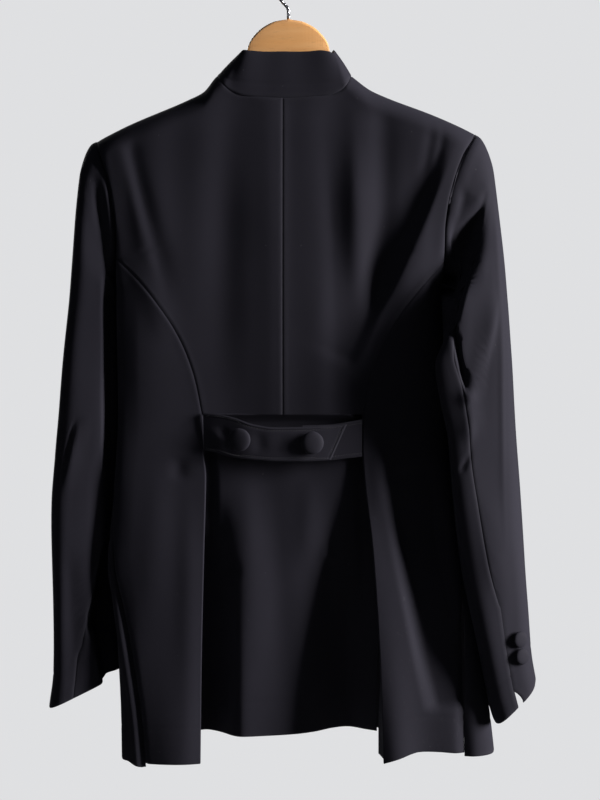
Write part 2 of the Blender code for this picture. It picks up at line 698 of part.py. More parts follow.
def collar():
    """Stand collar: round the back of the neck and down both front edges, tapering out."""
    shares = join(levels(0, 0.5, NECK_COLUMNS), np.array([0.5, 0.54, 0.6, 0.68, 0.78, 0.9, 1.0]))
    left = neckline("left", shares)
    right = neckline("right", shares[1:])[::-1]
    foot = np.concatenate([right, left])
    share = np.concatenate([shares[1:][::-1], shares])
    rise = run(COLLAR, "share", "rise", share)
    to_left = foot[:, 0] > BACK_CENTRE
    lean = np.where(to_left, run(COLLAR, "share", "left", share), run(COLLAR, "share", "right", share))
    away = np.zeros_like(foot)
    away[:, 0] = BACK_CENTRE - foot[:, 0]
    away[:, 1] = np.where(foot[:, 1] > -18, -10 - foot[:, 1], 8)
    away = away / np.linalg.norm(away, axis=-1, keepdims=True)
    step = away * lean[:, None] + np.array([0.0, 0.0, 1.0]) * rise[:, None]
    length = np.linalg.norm(step, axis=-1, keepdims=True)
    foot = foot + step / length * COLLAR_OFF
    parts = np.array([0, 0.33, 0.67, 1.0])[:, None, None]
    points = (foot + step * parts)[::-1]
    normal = grid_normals(points)
    normal = normal * np.where(normal[1, len(shares), 1] < 0, -1.0, 1.0)
    cloth_wall("collar", points, points - STIFF * normal)


COLLAR_OFF = 0.95


# ---------------------------------------------------------------- half belt

BELT_OVER = table(
    "x off top bottom",
    (95, 0.5, -512, -553), (77, 4, -513.5, -556), (60, 7, -517, -561), (38, 9.5, -524.5, -563.5),
    (14, 10, -528, -565), (-20, 9, -527.5, -565), (-47, 6.5, -526, -564), (-66, 5, -524, -563),
)
BELT_UNDER = table(
    "x off top bottom",
    (-16, 5.2, -526, -564), (-47, 3.0, -525, -564), (-66, 1.8, -522, -562), (-83, 0.5, -519, -560.5),
)
BELT_END = {"left": 92.6, "over_top": -65.0, "over_bottom": -47.0, "under": -16.0, "right": -81.6}


def belt_point(rows, x, z, out=0.0):
    """A place on a strap's outer face."""
    y = back_y(x, WAIST + 1) + run(rows, "x", "off", x) + STIFF + out
    return np.stack(np.broadcast_arrays(x, y, z), axis=-1)


def belt(name, rows, first, last_top, last_bottom, count):
    parts = np.linspace(0, 1, 4)[:, None]
    last = line(last_top, last_bottom, parts)
    x = line(first, last, np.linspace(0, 1, count)[None, :])
    z = line(run(rows, "x", "top", x), run(rows, "x", "bottom", x), parts)
    outer = belt_point(rows, x, z)
    inner = belt_point(rows, x, z, -STIFF)
    cloth_wall(name, outer, inner)


# ---------------------------------------------------------------- covered buttons

BUTTON = table(
    "radius height",
    (0.36, 0.0), (0.36, 0.14), (0.92, 0.16), (1.0, 0.26), (0.97, 0.36), (0.7, 0.48), (0.0, 0.54),
)


def button(name, place, facing, radius):
    """A covered button: a short shank and a domed top, its axis along the way it faces."""
    bm = bmesh.new()
    ring = [bm.verts.new((r * radius, 0, h * radius)) for r, h in zip(BUTTON["radius"], BUTTON["height"])]
    foot = bm.verts.new((0, 0, 0))
    profile = [bm.edges.new(pair) for pair in zip([foot, *ring], ring)]
    bmesh.ops.spin(
        bm, geom=[foot, *ring, *profile], cent=(0, 0, 0), axis=(0, 0, 1), angle=2 * math.pi, steps=16,
        use_merge=True,
    )
    bmesh.ops.remove_doubles(bm, verts=bm.verts, dist=1e-4)
    bmesh.ops.recalc_face_normals(bm, faces=bm.faces)
    bmesh.ops.triangulate(bm, faces=bm.faces)
    turn = Vector((0, 0, 1)).rotation_difference(Vector(facing)).to_matrix()
    for vert in bm.verts:
        vert.co = (turn @ vert.co + Vector(place)) * MM
    finish_object(name, bm, SUITING, 0.8)


BIG_BUTTON = 12.5
SMALL_BUTTON = 9.0
SEAT = 0.3
FRONT_SEAT = 0.8
BELT_BUTTONS = table("x z tilt", (52.8, -541.5, 0.22), (-26.4, -545.0, 0.0))
FRONT_BUTTONS = table("z", (-345,), (-425,), (-505,), (-585,))
FRONT_BUTTON_IN = 18.0
CUFF_RINGS = (11.54, 11.88)
CUFF_ANGLE = math.radians(75)


def buttons():
    for i, (x, z, tilt) in enumerate(zip(*BELT_BUTTONS.values())):
        around = belt_point(BELT_OVER, x + np.array([-4.0, 4.0]), z)
        slope = (around[1, 1] - around[0, 1]) / 8
        facing = Vector((-slope, 1, 0)).normalized()
        seat = max(belt_point(BELT_OVER, x + dx, z)[1] + slope * -dx for dx in (-4.0, 0.0, 4.0))
        place = Vector((x, seat, z)) + facing * SEAT
        button(f"belt_button_{i + 1}", place, facing, BIG_BUTTON)
    for i, z in enumerate(FRONT_BUTTONS["z"]):
        x = FRONT_CENTRE - run(FRONT_EDGE, "z", "out", z) - FRONT_BUTTON_IN
        angle = front_angle(x, z, "right")
        point = form(angle, z)
        normal = outward(normals_of(form, angle, np.asarray(z)), point)
        button(f"front_button_{i + 1}", point + normal * FRONT_SEAT, normal, BIG_BUTTON)
    surface = sleeve_form("right")
    for i, ring in enumerate(CUFF_RINGS):
        angle, at = np.asarray(CUFF_ANGLE), np.asarray(ring)
        point = surface(angle, at)
        normal = normals_of(surface, angle, at, 2e-3, 0.04)
        middle = (surface(0.0, ring) + surface(math.pi, ring)) / 2
        normal = normal * (1 if np.dot(normal, point - middle) > 0 else -1)
        button(f"cuff_button_right_{i + 1}", point + normal * SEAT, normal, SMALL_BUTTON)


# ---------------------------------------------------------------- hanger and hook

HEAD_TOP = -66.0
HANGER_ENDS = {"left": 206.0, "right": -201.0}
HANGER_UNDER = 5.0  # from the shoulder ridge down to the hanger's arm
NECK_REACH = 80.0  # beyond this the arm runs under the ridge
HANGER = table(
    "out top height half",
    (0, -66, 66, 7), (15, -68.4, 65, 7), (28, -74.6, 62, 7), (38, -83.5, 56, 7), (45, -94.2, 49, 7),
    (47.5, -106, 45, 7), (50, -124, 40, 7), (56, -131, 38, 7), (64, -138, 36, 7.5), (74, -144, 34, 8),
    (86, -148, 32, 8.5), (206, -203, 17, 11),
)
HANGER_OUT = [0, 10, 20, 28, 34, 39, 43, 46, 48, 52, 60, 72, 86, 95, 104, 122, 150, 178, 197, 202, 206]
HANGER_TIPS = {197: 1.0, 202: 0.92, 206: 0.72}  # how the arms' ends round off
CORNER_STEPS = 3


def hanger():
    """Wooden hanger: a round head and two arms that follow the shoulders from inside."""
    stations = [-d for d in reversed(HANGER_OUT)] + HANGER_OUT[1:]
    bm = bmesh.new()
    rings = []
    for out in stations:
        reach = abs(out)
        side = "left" if out >= 0 else "right"
        arm = reach > NECK_REACH
        x = out / HANGER_OUT[-1] * abs(HANGER_ENDS[side]) if arm else out
        top = run(RIDGE, "x", "z", x) - HANGER_UNDER if arm else run(HANGER, "out", "top", reach)
        low = top - run(HANGER, "out", "height", reach)
        half = run(HANGER, "out", "half", reach)
        shrink = HANGER_TIPS.get(reach, 1.0)
        middle = (top + low) / 2
        top, low, half = line(middle, top, shrink), line(middle, low, shrink), half * shrink
        corner = min(half, (top - low) / 2) * 0.6
        profile = []
        for cy, cz, start in ((1, 1, 0), (-1, 1, 90), (-1, -1, 180), (1, -1, 270)):
            for k in range(CORNER_STEPS):
                a = math.radians(start + 90 * k / (CORNER_STEPS - 1))
                y = cy * (half - corner) + corner * math.cos(a)
                z = (top - corner if cz > 0 else low + corner) + corner * math.sin(a)
                profile.append(bm.verts.new((x * MM, y * MM, z * MM)))
        rings.append(profile)
    for first, second in zip(rings, rings[1:]):
        for k in range(len(first)):
            n = (k + 1) % len(first)
            bm.faces.new((first[k], first[n], second[n], second[k]))
    bm.faces.new(rings[0])
    bm.faces.new(rings[-1])
    bmesh.ops.recalc_face_normals(bm, faces=bm.faces)
    bmesh.ops.triangulate(bm, faces=bm.faces)
    finish_object("hanger", bm, WOOD, 0.45)


WIRE = 3.8
HOOK_RADIUS = 22.0
STEM = 10.0


def hook():
    """Steel wire: a stem out of the wood, then an open round hook whose inner top is the origin."""
    centre_z = WIRE / 2 - HOOK_RADIUS
    start = math.radians(-62)
    end = math.radians(200)
    arc = [
        (HOOK_RADIUS * math.cos(a), centre_z + HOOK_RADIUS * math.sin(a))
        for a in np.linspace(start, end, 20)
    ]
    first_x, first_z = arc[0]
    stem_low = HEAD_TOP + 0.3
    stem = [(0.0, stem_low), (0.0, stem_low + STEM)]
    for part in (0.25, 0.5, 0.75):
        bend = ease(part)
        stem.append((first_x * bend, line(stem_low + STEM, first_z, part)))
    path = stem + arc
    curve = bpy.data.curves.new("hook", "CURVE")
    curve.dimensions = "3D"
    curve.bevel_depth = WIRE / 2 * MM
    curve.bevel_resolution = 2
    curve.use_fill_caps = True
    spline = curve.splines.new("POLY")
    spline.points.add(len(path) - 1)
    for point, (x, z) in zip(spline.points, path):
        point.co = (x * MM, 0, z * MM, 1)
    piece = bpy.data.objects.new("hook", curve)
    bpy.context.scene.collection.objects.link(piece)
    material = bpy.data.materials.new("hook")
    material.use_nodes = True
    shader = material.node_tree.nodes["Principled BSDF"]
    shader.inputs["Base Color"].default_value = (*STEEL, 1.0)
    shader.inputs["Roughness"].default_value = 0.3
    shader.inputs["Metallic"].default_value = 1.0
    curve.materials.append(material)


def main():
    for old in list(bpy.data.objects):
        bpy.data.objects.remove(old)
    for side in ("left", "right"):
        upper_back(side)
        side_back(side)
        front(side)
        sleeve(side)
    back_skirt()
    collar()
    belt("belt_over", BELT_OVER, BELT_END["left"], BELT_END["over_top"], BELT_END["over_bottom"], 12)
    belt("belt_under", BELT_UNDER, BELT_END["under"], BELT_END["right"], BELT_END["right"], 6)
    buttons()
    hanger()
    hook()


main()
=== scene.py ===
"""Looks of a long waisted jacket hung on a wooden hanger, seen from behind.

Tables are in millimetres, meshes in metres. +Z is up, the garment's back faces +Y, the wearer's left is +X.
Each cloth piece is a fine grid laid on the garment's form, with its folds, pressed seams and hems added.
"""

import math

import bmesh
import bpy
import numpy as np
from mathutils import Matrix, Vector


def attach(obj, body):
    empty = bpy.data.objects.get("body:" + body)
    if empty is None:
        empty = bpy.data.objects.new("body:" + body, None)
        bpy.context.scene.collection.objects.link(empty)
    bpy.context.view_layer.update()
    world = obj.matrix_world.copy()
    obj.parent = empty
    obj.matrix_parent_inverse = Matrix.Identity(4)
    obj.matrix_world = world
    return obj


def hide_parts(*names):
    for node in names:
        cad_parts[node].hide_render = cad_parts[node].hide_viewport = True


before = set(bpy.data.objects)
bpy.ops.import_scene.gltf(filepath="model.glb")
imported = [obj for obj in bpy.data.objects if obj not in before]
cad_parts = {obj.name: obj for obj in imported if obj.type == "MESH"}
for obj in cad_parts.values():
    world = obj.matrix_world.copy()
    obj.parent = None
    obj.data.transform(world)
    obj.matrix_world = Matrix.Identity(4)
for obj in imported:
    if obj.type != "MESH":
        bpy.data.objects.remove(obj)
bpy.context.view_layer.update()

MM = 0.001
# Walls: of the panels, and of the collar and the straps, which are stiffened.
CLOTH = 1.6
STIFF = 2.4
# Width of a seam's gap. Below 0, the two pieces lie over each other by that much, so that no light shows.
SEAM = -0.06
# Places across the garment: the centre-back seam, and the middle between the two front edges.
BACK_CENTRE = 6.0
FRONT_CENTRE = 4.0
# Heights, from the hook's inner top down.
WAIST = -514.0
BACK_SKIRT_HEM = -870.0
UNDERARM = {"left": -373.0, "right": -366.0}
# Over what height the shoulder rounds off below its ridge, and the least depth that the form keeps there.
SHOULDER_ROUND = 28.0
KEEP_OFF = 0.2
# The angle that a back or a front keeps off the very side.
EDGE = 1e-5
SIDES = ("left", "right")
SIGN = {"left": 1.0, "right": -1.0}


# ------------------------------------------------------------------ tables and curves


def table(names, *rows):
    """Rows of a table as named columns."""
    return dict(zip(names.split(), np.array(rows, float).T))


def run(rows, key, column, at):
    """One column of a table at other places of its key, on a smooth curve that keeps between its rows."""
    order = np.argsort(rows[key])
    keys = rows[key][order]
    values = rows[column][order]
    step = np.diff(keys)
    rise = np.diff(values) / step
    total = rise[:-1] + rise[1:]
    same = rise[:-1] * rise[1:] > 0
    slope = np.empty_like(values)
    slope[1:-1] = np.where(same, 2 * rise[:-1] * rise[1:] / np.where(same, total, 1), 0)
    slope[0] = rise[0]
    slope[-1] = rise[-1]
    at = np.clip(np.asarray(at, float), keys[0], keys[-1])
    i = np.clip(np.searchsorted(keys, at, side="right") - 1, 0, len(step) - 1)
    s = (at - keys[i]) / step[i]
    ends = (1 + 2 * s) * (1 - s) ** 2 * values[i] + s * s * (3 - 2 * s) * values[i + 1]
    slopes = step[i] * (s * (1 - s) ** 2 * slope[i] + s * s * (s - 1) * slope[i + 1])
    return ends + slopes


def ease(x):
    """Smooth step from 0 to 1."""
    x = np.clip(x, 0, 1)
    return x * x * (3 - 2 * x)


def line(first, last, f):
    """From the first value to the last along a straight line."""
    return first + (last - first) * f


def join(*runs):
    """Runs of values end to end, each starting with the value that ends the one before."""
    return np.concatenate([runs[0]] + [part[1:] for part in runs[1:]])


def shares(count, length, near=(0.45, 1.0, 1.7, 2.6, 4.0), ends="both"):
    """Places from 0 to 1: even ones, and close ones (in mm) beside the edges, where a seam rolls under."""
    close = np.array(near) / length
    first = np.concatenate([[0.0], close]) if ends in ("both", "first") else np.array([0.0])
    last = np.concatenate([[1.0], 1 - close])[::-1] if ends in ("both", "last") else np.array([1.0])
    middle = np.linspace(first[-1], last[0], count + 1)
    return np.concatenate([first[:-1], middle, last[1:]])


def softened(values, reach):
    """A run of values with its corners rounded off and its ends kept."""
    padded = np.pad(values, reach, mode="reflect", reflect_type="odd")
    weights = np.hanning(2 * reach + 3)[1:-1]
    return np.convolve(padded, weights / weights.sum(), mode="valid")


# ------------------------------------------------------------------ the garment's form

# The outline seen from behind: how far out each side is, by height.
LEFT_SIDE = table(
    "z x",
    (-100, 226), (-160, 223), (-206, 215), (-238, 204), (-264, 196), (-294, 191), (-325, 189), (-373, 190),
    (-514, 189), (-600, 193), (-677, 197), (-725, 191), (-782, 187), (-846, 184), (-901, 183),
)
RIGHT_SIDE = table(
    "z x",
    (-100, -226), (-160, -221), (-198, -211), (-227, -194), (-256, -183), (-285, -176), (-314, -173),
    (-366, -173), (-450, -177), (-514, -180), (-612, -188), (-672, -196), (-725, -206), (-780, -216),
    (-835, -224), (-901, -231),
)
# How far the back and the front stand out from the shoulders' plane, by height.
DEPTH = table(
    "z back front",
    (-100, 34, 38), (-163, 39, 50), (-206, 46, 61), (-290, 52, 74), (-373, 53, 80), (-440, 50, 79),
    (-514, 46, 74), (-600, 52, 77), (-700, 58, 79), (-901, 64, 80),
)
# How square the front is across its breadth, and the back at each side. The right side falls away below the
# arm.
FRONT_SQUARE = 6.0
SQUARE = table(
    "z left right",
    (-100, 6, 6), (-190, 9, 6), (-330, 14, 5), (-410, 18, 3), (-560, 18, 2.6), (-640, 18, 3), (-901, 16, 5),
)
# Each armhole's top and bottom, and how far it reaches behind and before the shoulder.
ARMHOLE = {
    "left": {"top": -206.0, "bottom": UNDERARM["left"], "back": 46.0, "front": 54.0},
    "right": {"top": -198.0, "bottom": UNDERARM["right"], "back": 46.0, "front": 54.0},
}
ARMHOLE_POWER = 2.4
# The shoulders' upper outline, up to the neck.
RIDGE = table(
    "x z",
    (-240, -211), (-211, -197), (-164, -176), (-109, -155), (-92, -147), (-72, -132), (-45, -112), (0, -108),
    (50, -112), (81, -132), (95, -149), (112, -158), (177, -186), (215, -205), (240, -217),
)
# The widest swells below the waist: a crest's two ends, its half width, and its height at each end.
BROAD_FOLDS = table(
    "x_top z_top x_bottom z_bottom width height_top height_bottom",
    (-138, -560, -170, -900, 40, 0, -7),
    (-98, -640, -118, -900, 20, 0, 7),
    (120, -520, 126, -900, 30, 0, 7),
)


def side_x(side, z):
    """How far out a side is at a height."""
    return run(LEFT_SIDE if side == "left" else RIGHT_SIDE, "z", "x", z)


def armhole_gap(side, face, z):
    """How far the armhole's edge stands from the ridge line at a height."""
    hole = ARMHOLE[side]
    part = np.clip((hole["top"] - z) / (hole["top"] - hole["bottom"]), 0, 1)
    return hole[face] * np.sqrt(np.clip(1 - np.abs(2 * part - 1) ** ARMHOLE_POWER, 0, 1))


def soft_gap(side, face, z):
    """The same gap as the cloth away from the armhole feels it: a slow swell that runs on below it."""
    hole = ARMHOLE[side]
    above = ease((hole["top"] + 30 - z) / 80)
    below = ease((z - hole["bottom"] + 80) / 150)
    return hole[face] * 0.9 * above * below


def broad_folds(x, z):
    """How far the widest swells lift the back."""
    total = np.zeros(np.broadcast(x, z).shape)
    for top_x, top_z, low_x, low_z, width, high, low in zip(*BROAD_FOLDS.values()):
        part = np.clip((top_z - z) / (top_z - low_z), 0, 1)
        crest = top_x + (low_x - top_x) * part
        height = high + (low - high) * part ** 1.4
        total = total + height * np.exp(-(((x - crest) / width) ** 2)) * (z < top_z)
    return total


def form(angle, z):
    """The garment's outer form. Angle 0 is the left side, half pi the back and pi the right side."""
    angle, z = np.broadcast_arrays(np.asarray(angle, float), np.asarray(z, float))
    left, right = side_x("left", z), side_x("right", z)
    across = np.cos(angle)
    x = (left + right) / 2 + (left - right) / 2 * across
    is_back = np.sin(angle) > 0
    to_left = across > 0
    mixed = ease((across + 0.3) / 0.6)
    power = line(run(SQUARE, "z", "right", z), run(SQUARE, "z", "left", z), mixed)
    power = np.where(is_back, power, FRONT_SQUARE)
    height = (1 - np.abs(across) ** power) ** (1 / power)
    edge = ease((np.abs(across) - 0.86) / 0.14)
    gap_back, gap_front = (
        np.where(
            to_left,
            line(soft_gap("left", face, z), armhole_gap("left", face, z), edge),
            line(soft_gap("right", face, z), armhole_gap("right", face, z), edge),
        )
        for face in ("back", "front")
    )
    back = gap_back + (run(DEPTH, "z", "back", z) - gap_back) * height
    front = gap_front + (run(DEPTH, "z", "front", z) - gap_front) * height
    under_ridge = np.clip((run(RIDGE, "x", "z", x) - z) / SHOULDER_ROUND, 0, 1)
    rounded = np.sqrt(1 - (1 - under_ridge) ** 2)
    depth = np.where(is_back, back + broad_folds(x, z) * height, front) * rounded
    y = np.where(is_back, 1, -1) * np.maximum(depth, KEEP_OFF)
    return np.stack([x, y, z], axis=-1)


def side_ratio(x, z):
    """A place across the garment as a share of its half breadth, 1 at the left side and -1 at the right."""
    left, right = side_x("left", z), side_x("right", z)
    return np.clip((x - (left + right) / 2) * 2 / (left - right), -1, 1)


def back_angle(x, z):
    """The form's angle of a place on the back."""
    return np.clip(np.arccos(side_ratio(x, z)), EDGE, math.pi - EDGE)


def front_angle(x, z, side):
    """The form's angle of a place on a front: below 0 on the left one, beyond pi on the right one."""
    angle = np.arccos(side_ratio(x, z))
    return -np.maximum(angle, EDGE) if side == "left" else 2 * math.pi - np.minimum(angle, math.pi - EDGE)


def back_y(x, z):
    """How far the back's form stands out at a place."""
    return form(back_angle(x, z), z)[..., 1]


def side_angle(side, face):
    """The form's angle just behind or just before the very side."""
    if side == "left":
        return EDGE if face == "back" else -EDGE
    return math.pi - EDGE if face == "back" else math.pi + EDGE


# ------------------------------------------------------------------ folds

# x1 z1 to x2 z2: the fold's line from its first end to its last. bend: how far its middle swings aside.
# width: half width at each end. height: out of the cloth, below 0 for a trough.
# lean: -1 to 1, its gentler side. start, end: share of the height left at each end.
FOLD_COLUMNS = "x1 z1 x2 z2 bend width1 width2 height lean start end"

BACK_FOLDS = table(
    FOLD_COLUMNS,
    # the long soft bands of the upper back
    (168, -300, 164, -900, 0, 30, 34, 1.2, 0, 0.2, 1),
    (150, -216, 140, -500, 3, 20, 28, 2.2, 0, 0.3, 0.2),
    (70, -195, 66, -508, -2, 20, 26, -2.6, 0, 0.3, 0.5),
    (17, -176, 14, -508, 0, 14, 18, 1.6, 0, 0.6, 0.8),
    (-44, -190, -58, -508, 2, 15, 18, -2.4, 0.2, 0.2, 0.6),
    (-72, -188, -79, -430, -1, 9, 12, 1.7, 0, 0.2, 0),
    (-104, -190, -103, -440, 0, 14, 17, -4.0, 0, 0.5, 0),
    # drag lines out of the left armhole
    (172, -224, 124, -402, -2, 8, 11, -2.2, 0.2, 0.6, 0),
    (184, -222, 142, -366, -2, 7, 10, 0.9, 0, 0.6, 0),
    (196, -232, 180, -330, -3, 5, 7, -1.4, 0, 0.6, 0),
    (172, -352, 128, -440, 5, 9, 15, 1.2, 0, 0.4, 0),
    # drag lines out of the right armhole
    (-184, -222, -102, -404, 6, 9, 14, 2.4, 0.5, 0.1, 0),
    (-172, -196, -160, -246, 2, 5, 5, -1.1, 0, 0.5, 0),
    (-160, -188, -146, -262, 2, 6, 7, -1.2, 0, 0.4, 0),
    (-168, -352, -118, -452, -4, 9, 16, 1.4, 0, 0.6, 0),
    # below the waist
    (119, -558, 121, -590, 0, 8, 9, -1.6, 0, 0, 0),
    (140, -530, 158, -780, 4, 16, 24, 1.6, 0, 0, 0.2),
    (112, -560, 108, -894, 2, 10, 13, 1.2, 0, 0, 1),
    (-98, -535, -104, -640, 0, 9, 13, 2.2, 0, 0.2, 0),
    (-150, -540, -176, -700, 3, 16, 22, -2.0, 0, 0, 0),
)
FRONT_FOLDS = table(
    FOLD_COLUMNS,
    (150, -232, 120, -430, 5, 12, 20, -2.6, 0.2, 0.5, 0),
    (-138, -226, -112, -430, -5, 12, 20, -2.6, -0.2, 0.5, 0),
    (95, -300, 84, -520, 0, 20, 26, 2.4, 0, 0, 0.3),
    (-90, -300, -84, -520, 0, 20, 26, 2.6, 0, 0, 0.3),
    (120, -540, 138, -898, 4, 22, 32, 4.0, 0, 0, 1),
    (80, -600, 84, -898, 0, 16, 24, -2.8, 0, 0, 1),
    (-70, -590, -66, -898, -3, 18, 26, -3.0, 0, 0, 1),
    (-118, -540, -140, -898, -4, 20, 30, 4.2, 0, 0, 1),
    (30, -640, 22, -898, 2, 16, 24, 1.8, 0, 0, 1),
    (168, -360, 120, -420, 3, 8, 15, 1.6, 0, 0.6, 0),
    (-158, -356, -112, -418, -3, 8, 15, 1.6, 0, 0.6, 0),
    (60, -500, -20, -520, 2, 9, 9, -1.2, 0, 0, 0),
)


def beside(x1, z1, x2, z2, x, z):
    """Where places lie to a line: their share along it, how far they are to its left and beyond its ends.

    Left is as seen from behind, where the garment's left side is on the left.
    """
    along = np.array([x2 - x1, z2 - z1])
    length = np.hypot(*along)
    along = along / length
    share = ((x - x1) * along[0] + (z - z1) * along[1]) / length
    aside = (x - x1) * along[1] - (z - z1) * along[0]
    return np.clip(share, 0, 1), aside, np.maximum(np.maximum(-share, share - 1), 0) * length


def faded(start, end, share, reach):
    """1 along a line but near its ends, where it comes down to the share left at each."""
    return line(start, 1, ease(share / reach)) * line(end, 1, ease((1 - share) / reach))


def folds(rows, x, z):
    """How far a table's folds lift the cloth at each place."""
    total = np.zeros(np.broadcast(x, z).shape)
    for x1, z1, x2, z2, bend, width1, width2, height, lean, start, end in zip(*rows.values()):
        share, aside, beyond = beside(x1, z1, x2, z2, x, z)
        aside = aside - bend * 4 * share * (1 - share)
        width = line(width1, width2, share) * (1 + lean * np.sign(aside) * np.tanh(np.abs(aside) / 4))
        fade = faded(start, end, share, 0.4)
        total = total + height * fade * np.exp(-((aside / width) ** 2) - (beyond / width) ** 2)
    return total


# x1 z1 to x2 z2: a sharp edge of cloth. drop: how far the cloth on its right, seen from behind, falls away.
# sharp: over what width it falls. reach: how far beyond it stays down, at each end.
# start, end: share of the drop left at each end.
EDGE_COLUMNS = "x1 z1 x2 z2 drop sharp reach1 reach2 start end"
EDGE_FADE = 9.0


def drops_behind(rows, x, z):
    """How far cloth falls behind the sharp edges of a table: at once beside them, less and less beyond."""
    total = np.zeros(np.broadcast(x, z).shape)
    for x1, z1, x2, z2, drop, sharp, reach1, reach2, start, end in zip(*rows.values()):
        share, aside, over = beside(x1, z1, x2, z2, x, z)
        behind = -aside
        beyond = np.maximum(behind - sharp, 0) / line(reach1, reach2, share)
        fade = faded(start, end, share, 0.3) * ease(behind / sharp)
        total = total + drop * fade * np.exp(-(beyond ** 2) - (over / EDGE_FADE) ** 2)
    return total


# Where the back falls away at once: beside the drag line out of the right armhole and beside the right pleat.
BACK_EDGES = table(
    EDGE_COLUMNS,
    (-186, -222, -82, -456, 8, 17, 42, 30, 0.1, 0.4),
    (-146, -838, -98, -590, 11, 22, 90, 60, 0.6, 0.2),
)
WAVES = 7


def unevenness(x, z, size, seed):
    """Slight waviness of a large piece of cloth, a few centimetres across."""
    rng = np.random.default_rng(seed)
    total = np.zeros(np.broadcast(x, z).shape)
    for _ in range(WAVES):
        turn = rng.uniform(0, math.pi)
        pitch = rng.uniform(45, 130)
        phase = rng.uniform(0, 2 * math.pi)
        total = total + np.sin((x * math.cos(turn) + 0.45 * z * math.sin(turn)) * 2 * math.pi / pitch + phase)
    return total * size / math.sqrt(WAVES)


# ------------------------------------------------------------------ from grids of points to cloth


def unit(vectors):
    """Vectors brought to a length of 1."""
    return vectors / np.maximum(np.linalg.norm(vectors, axis=-1, keepdims=True), 1e-9)


def normals_of(surface, a, b, step=1e-3, step_b=0.5):
    """Normals of a surface of two values, from small steps to both sides of each."""
    along_a = surface(a + step, b) - surface(a - step, b)
    along_b = surface(a, b + step_b) - surface(a, b - step_b)
    return unit(np.cross(along_a, along_b))


def grid_normals(points, like=None):
    """Normals of a grid of points, turned to the side of the given direction."""
    normal = unit(np.cross(np.gradient(points, axis=1), np.gradient(points, axis=0)))
    if like is not None:
        normal = normal * np.where(np.sum(normal * like, axis=-1, keepdims=True) < 0, -1.0, 1.0)
    return normal


def outward(normal, points):
    """Normals of the body's form, turned away from its middle."""
    away = points * np.array([0.25, 1.0, 0.0]) + np.array([0.0, 0.0, 1e-3])
    turn = np.where(np.sum(normal * away, axis=-1, keepdims=True) < 0, -1.0, 1.0)
    return normal * turn


def form_normals(angle, z, side):
    """Outward normals of the form, read just inside an armhole's edge."""
    probe_off = 3e-3
    very_side = 0.0 if side == "left" else math.pi
    off_side = angle - very_side
    on_armhole = (np.abs(off_side) < probe_off) & (z > ARMHOLE[side]["bottom"] - 1)
    probe = np.where(on_armhole, very_side + np.sign(off_side) * probe_off, angle)
    return outward(normals_of(form, probe, z), form(angle, z))


def calmed(edge, down):
    """A side edge as a slow curve between its own two ends."""
    down = np.asarray(down, float)
    curve = np.stack([np.polyval(np.polyfit(down, edge[:, k], 3), down) for k in (0, 1)], axis=-1)
    miss = edge - curve
    return curve + line(miss[:1], miss[-1:], down[:, None])


def patch(top, bottom, outer, inner, down, across):
    """A grid of (angle, z) filled in between four edges, its columns from the outer edge to the inner one.

    A side edge's sudden turns are felt only close to it.
    """
    edges = (top, bottom, outer, inner)
    top, bottom, outer, inner = (np.stack(np.broadcast_arrays(*edge), axis=-1) for edge in edges)
    u = np.asarray(across, float)[None, :, None]
    v = np.asarray(down, float)[:, None, None]
    calm_outer, calm_inner = calmed(outer, down), calmed(inner, down)
    turns = (1 - u) ** 6 * (outer - calm_outer)[:, None] + u ** 6 * (inner - calm_inner)[:, None]
    outer, inner = calm_outer, calm_inner
    corners = (
        (1 - u) * (1 - v) * top[None, :1] + u * (1 - v) * top[None, -1:]
        + (1 - u) * v * bottom[None, :1] + u * v * bottom[None, -1:]
    )
    between = (1 - v) * top[None] + v * bottom[None] + (1 - u) * outer[:, None] + u * inner[:, None]
    grid = between - corners + turns
    return grid[..., 0], grid[..., 1]


def lengths(points, axis):
    """Distance along a grid's rows (axis 1) or columns (axis 0) from the first point of each."""
    step = np.linalg.norm(np.diff(points, axis=axis), axis=-1)
    zero = np.zeros_like(np.take(step, [0], axis=axis))
    return np.concatenate([zero, np.cumsum(step, axis=axis)], axis=axis)


def edge_distance(points, edges):
    """Distance in mm of each point from the nearest of the named edges of its grid."""
    across = lengths(points, 1)
    down = lengths(points, 0)
    found = {
        "first": across, "last": across[:, -1:] - across,
        "top": down, "bottom": down[-1:] - down,
    }
    nearest = np.full(points.shape[:2], 1e6)
    for edge in edges.split():
        nearest = np.minimum(nearest, found[edge])
    return nearest


def bump(distance, height, reach, at=0.0):
    """A soft rise, or a groove where the height is below 0, at a distance from an edge."""
    return height * np.exp(-(((distance - at) / reach) ** 2))


# Height, reach and distance from the edge of each rise or groove: a seam's roll and the swell beside it, a
# hem's roll, and the line where the turned-up cloth ends inside.
SEAM_ROLL = (-0.45, 0.9)
SEAM_SWELL = (0.15, 2.2, 3.6)
HEM_ROLL = (-0.5, 1.0)
HEM_LINE = (-0.35, 1.6, 38.0)


def press(points, normal, seams, hems="", pucker=0.035, seed=1):
    """Rolls a piece's seamed edges under, with slight puckers beside them, and rounds its turned hems."""
    rng = np.random.default_rng(seed)
    off = np.zeros(points.shape[:2])
    if seams:
        d = edge_distance(points, seams)
        along = points[..., 2] + 0.6 * points[..., 0]
        ripple = np.sin(along / 2.3 + rng.uniform(0, 6)) + 0.7 * np.sin(along / 3.7 + rng.uniform(0, 6))
        off = off + bump(d, *SEAM_ROLL) + bump(d, *SEAM_SWELL)
        off = off + pucker * ripple * np.exp(-d / 5.0) * (1 - np.exp(-d / 1.5))
    if hems:
        d = edge_distance(points, hems)
        off = off + bump(d, *HEM_ROLL) + bump(d, *HEM_LINE)
    return points + normal * off[..., None]


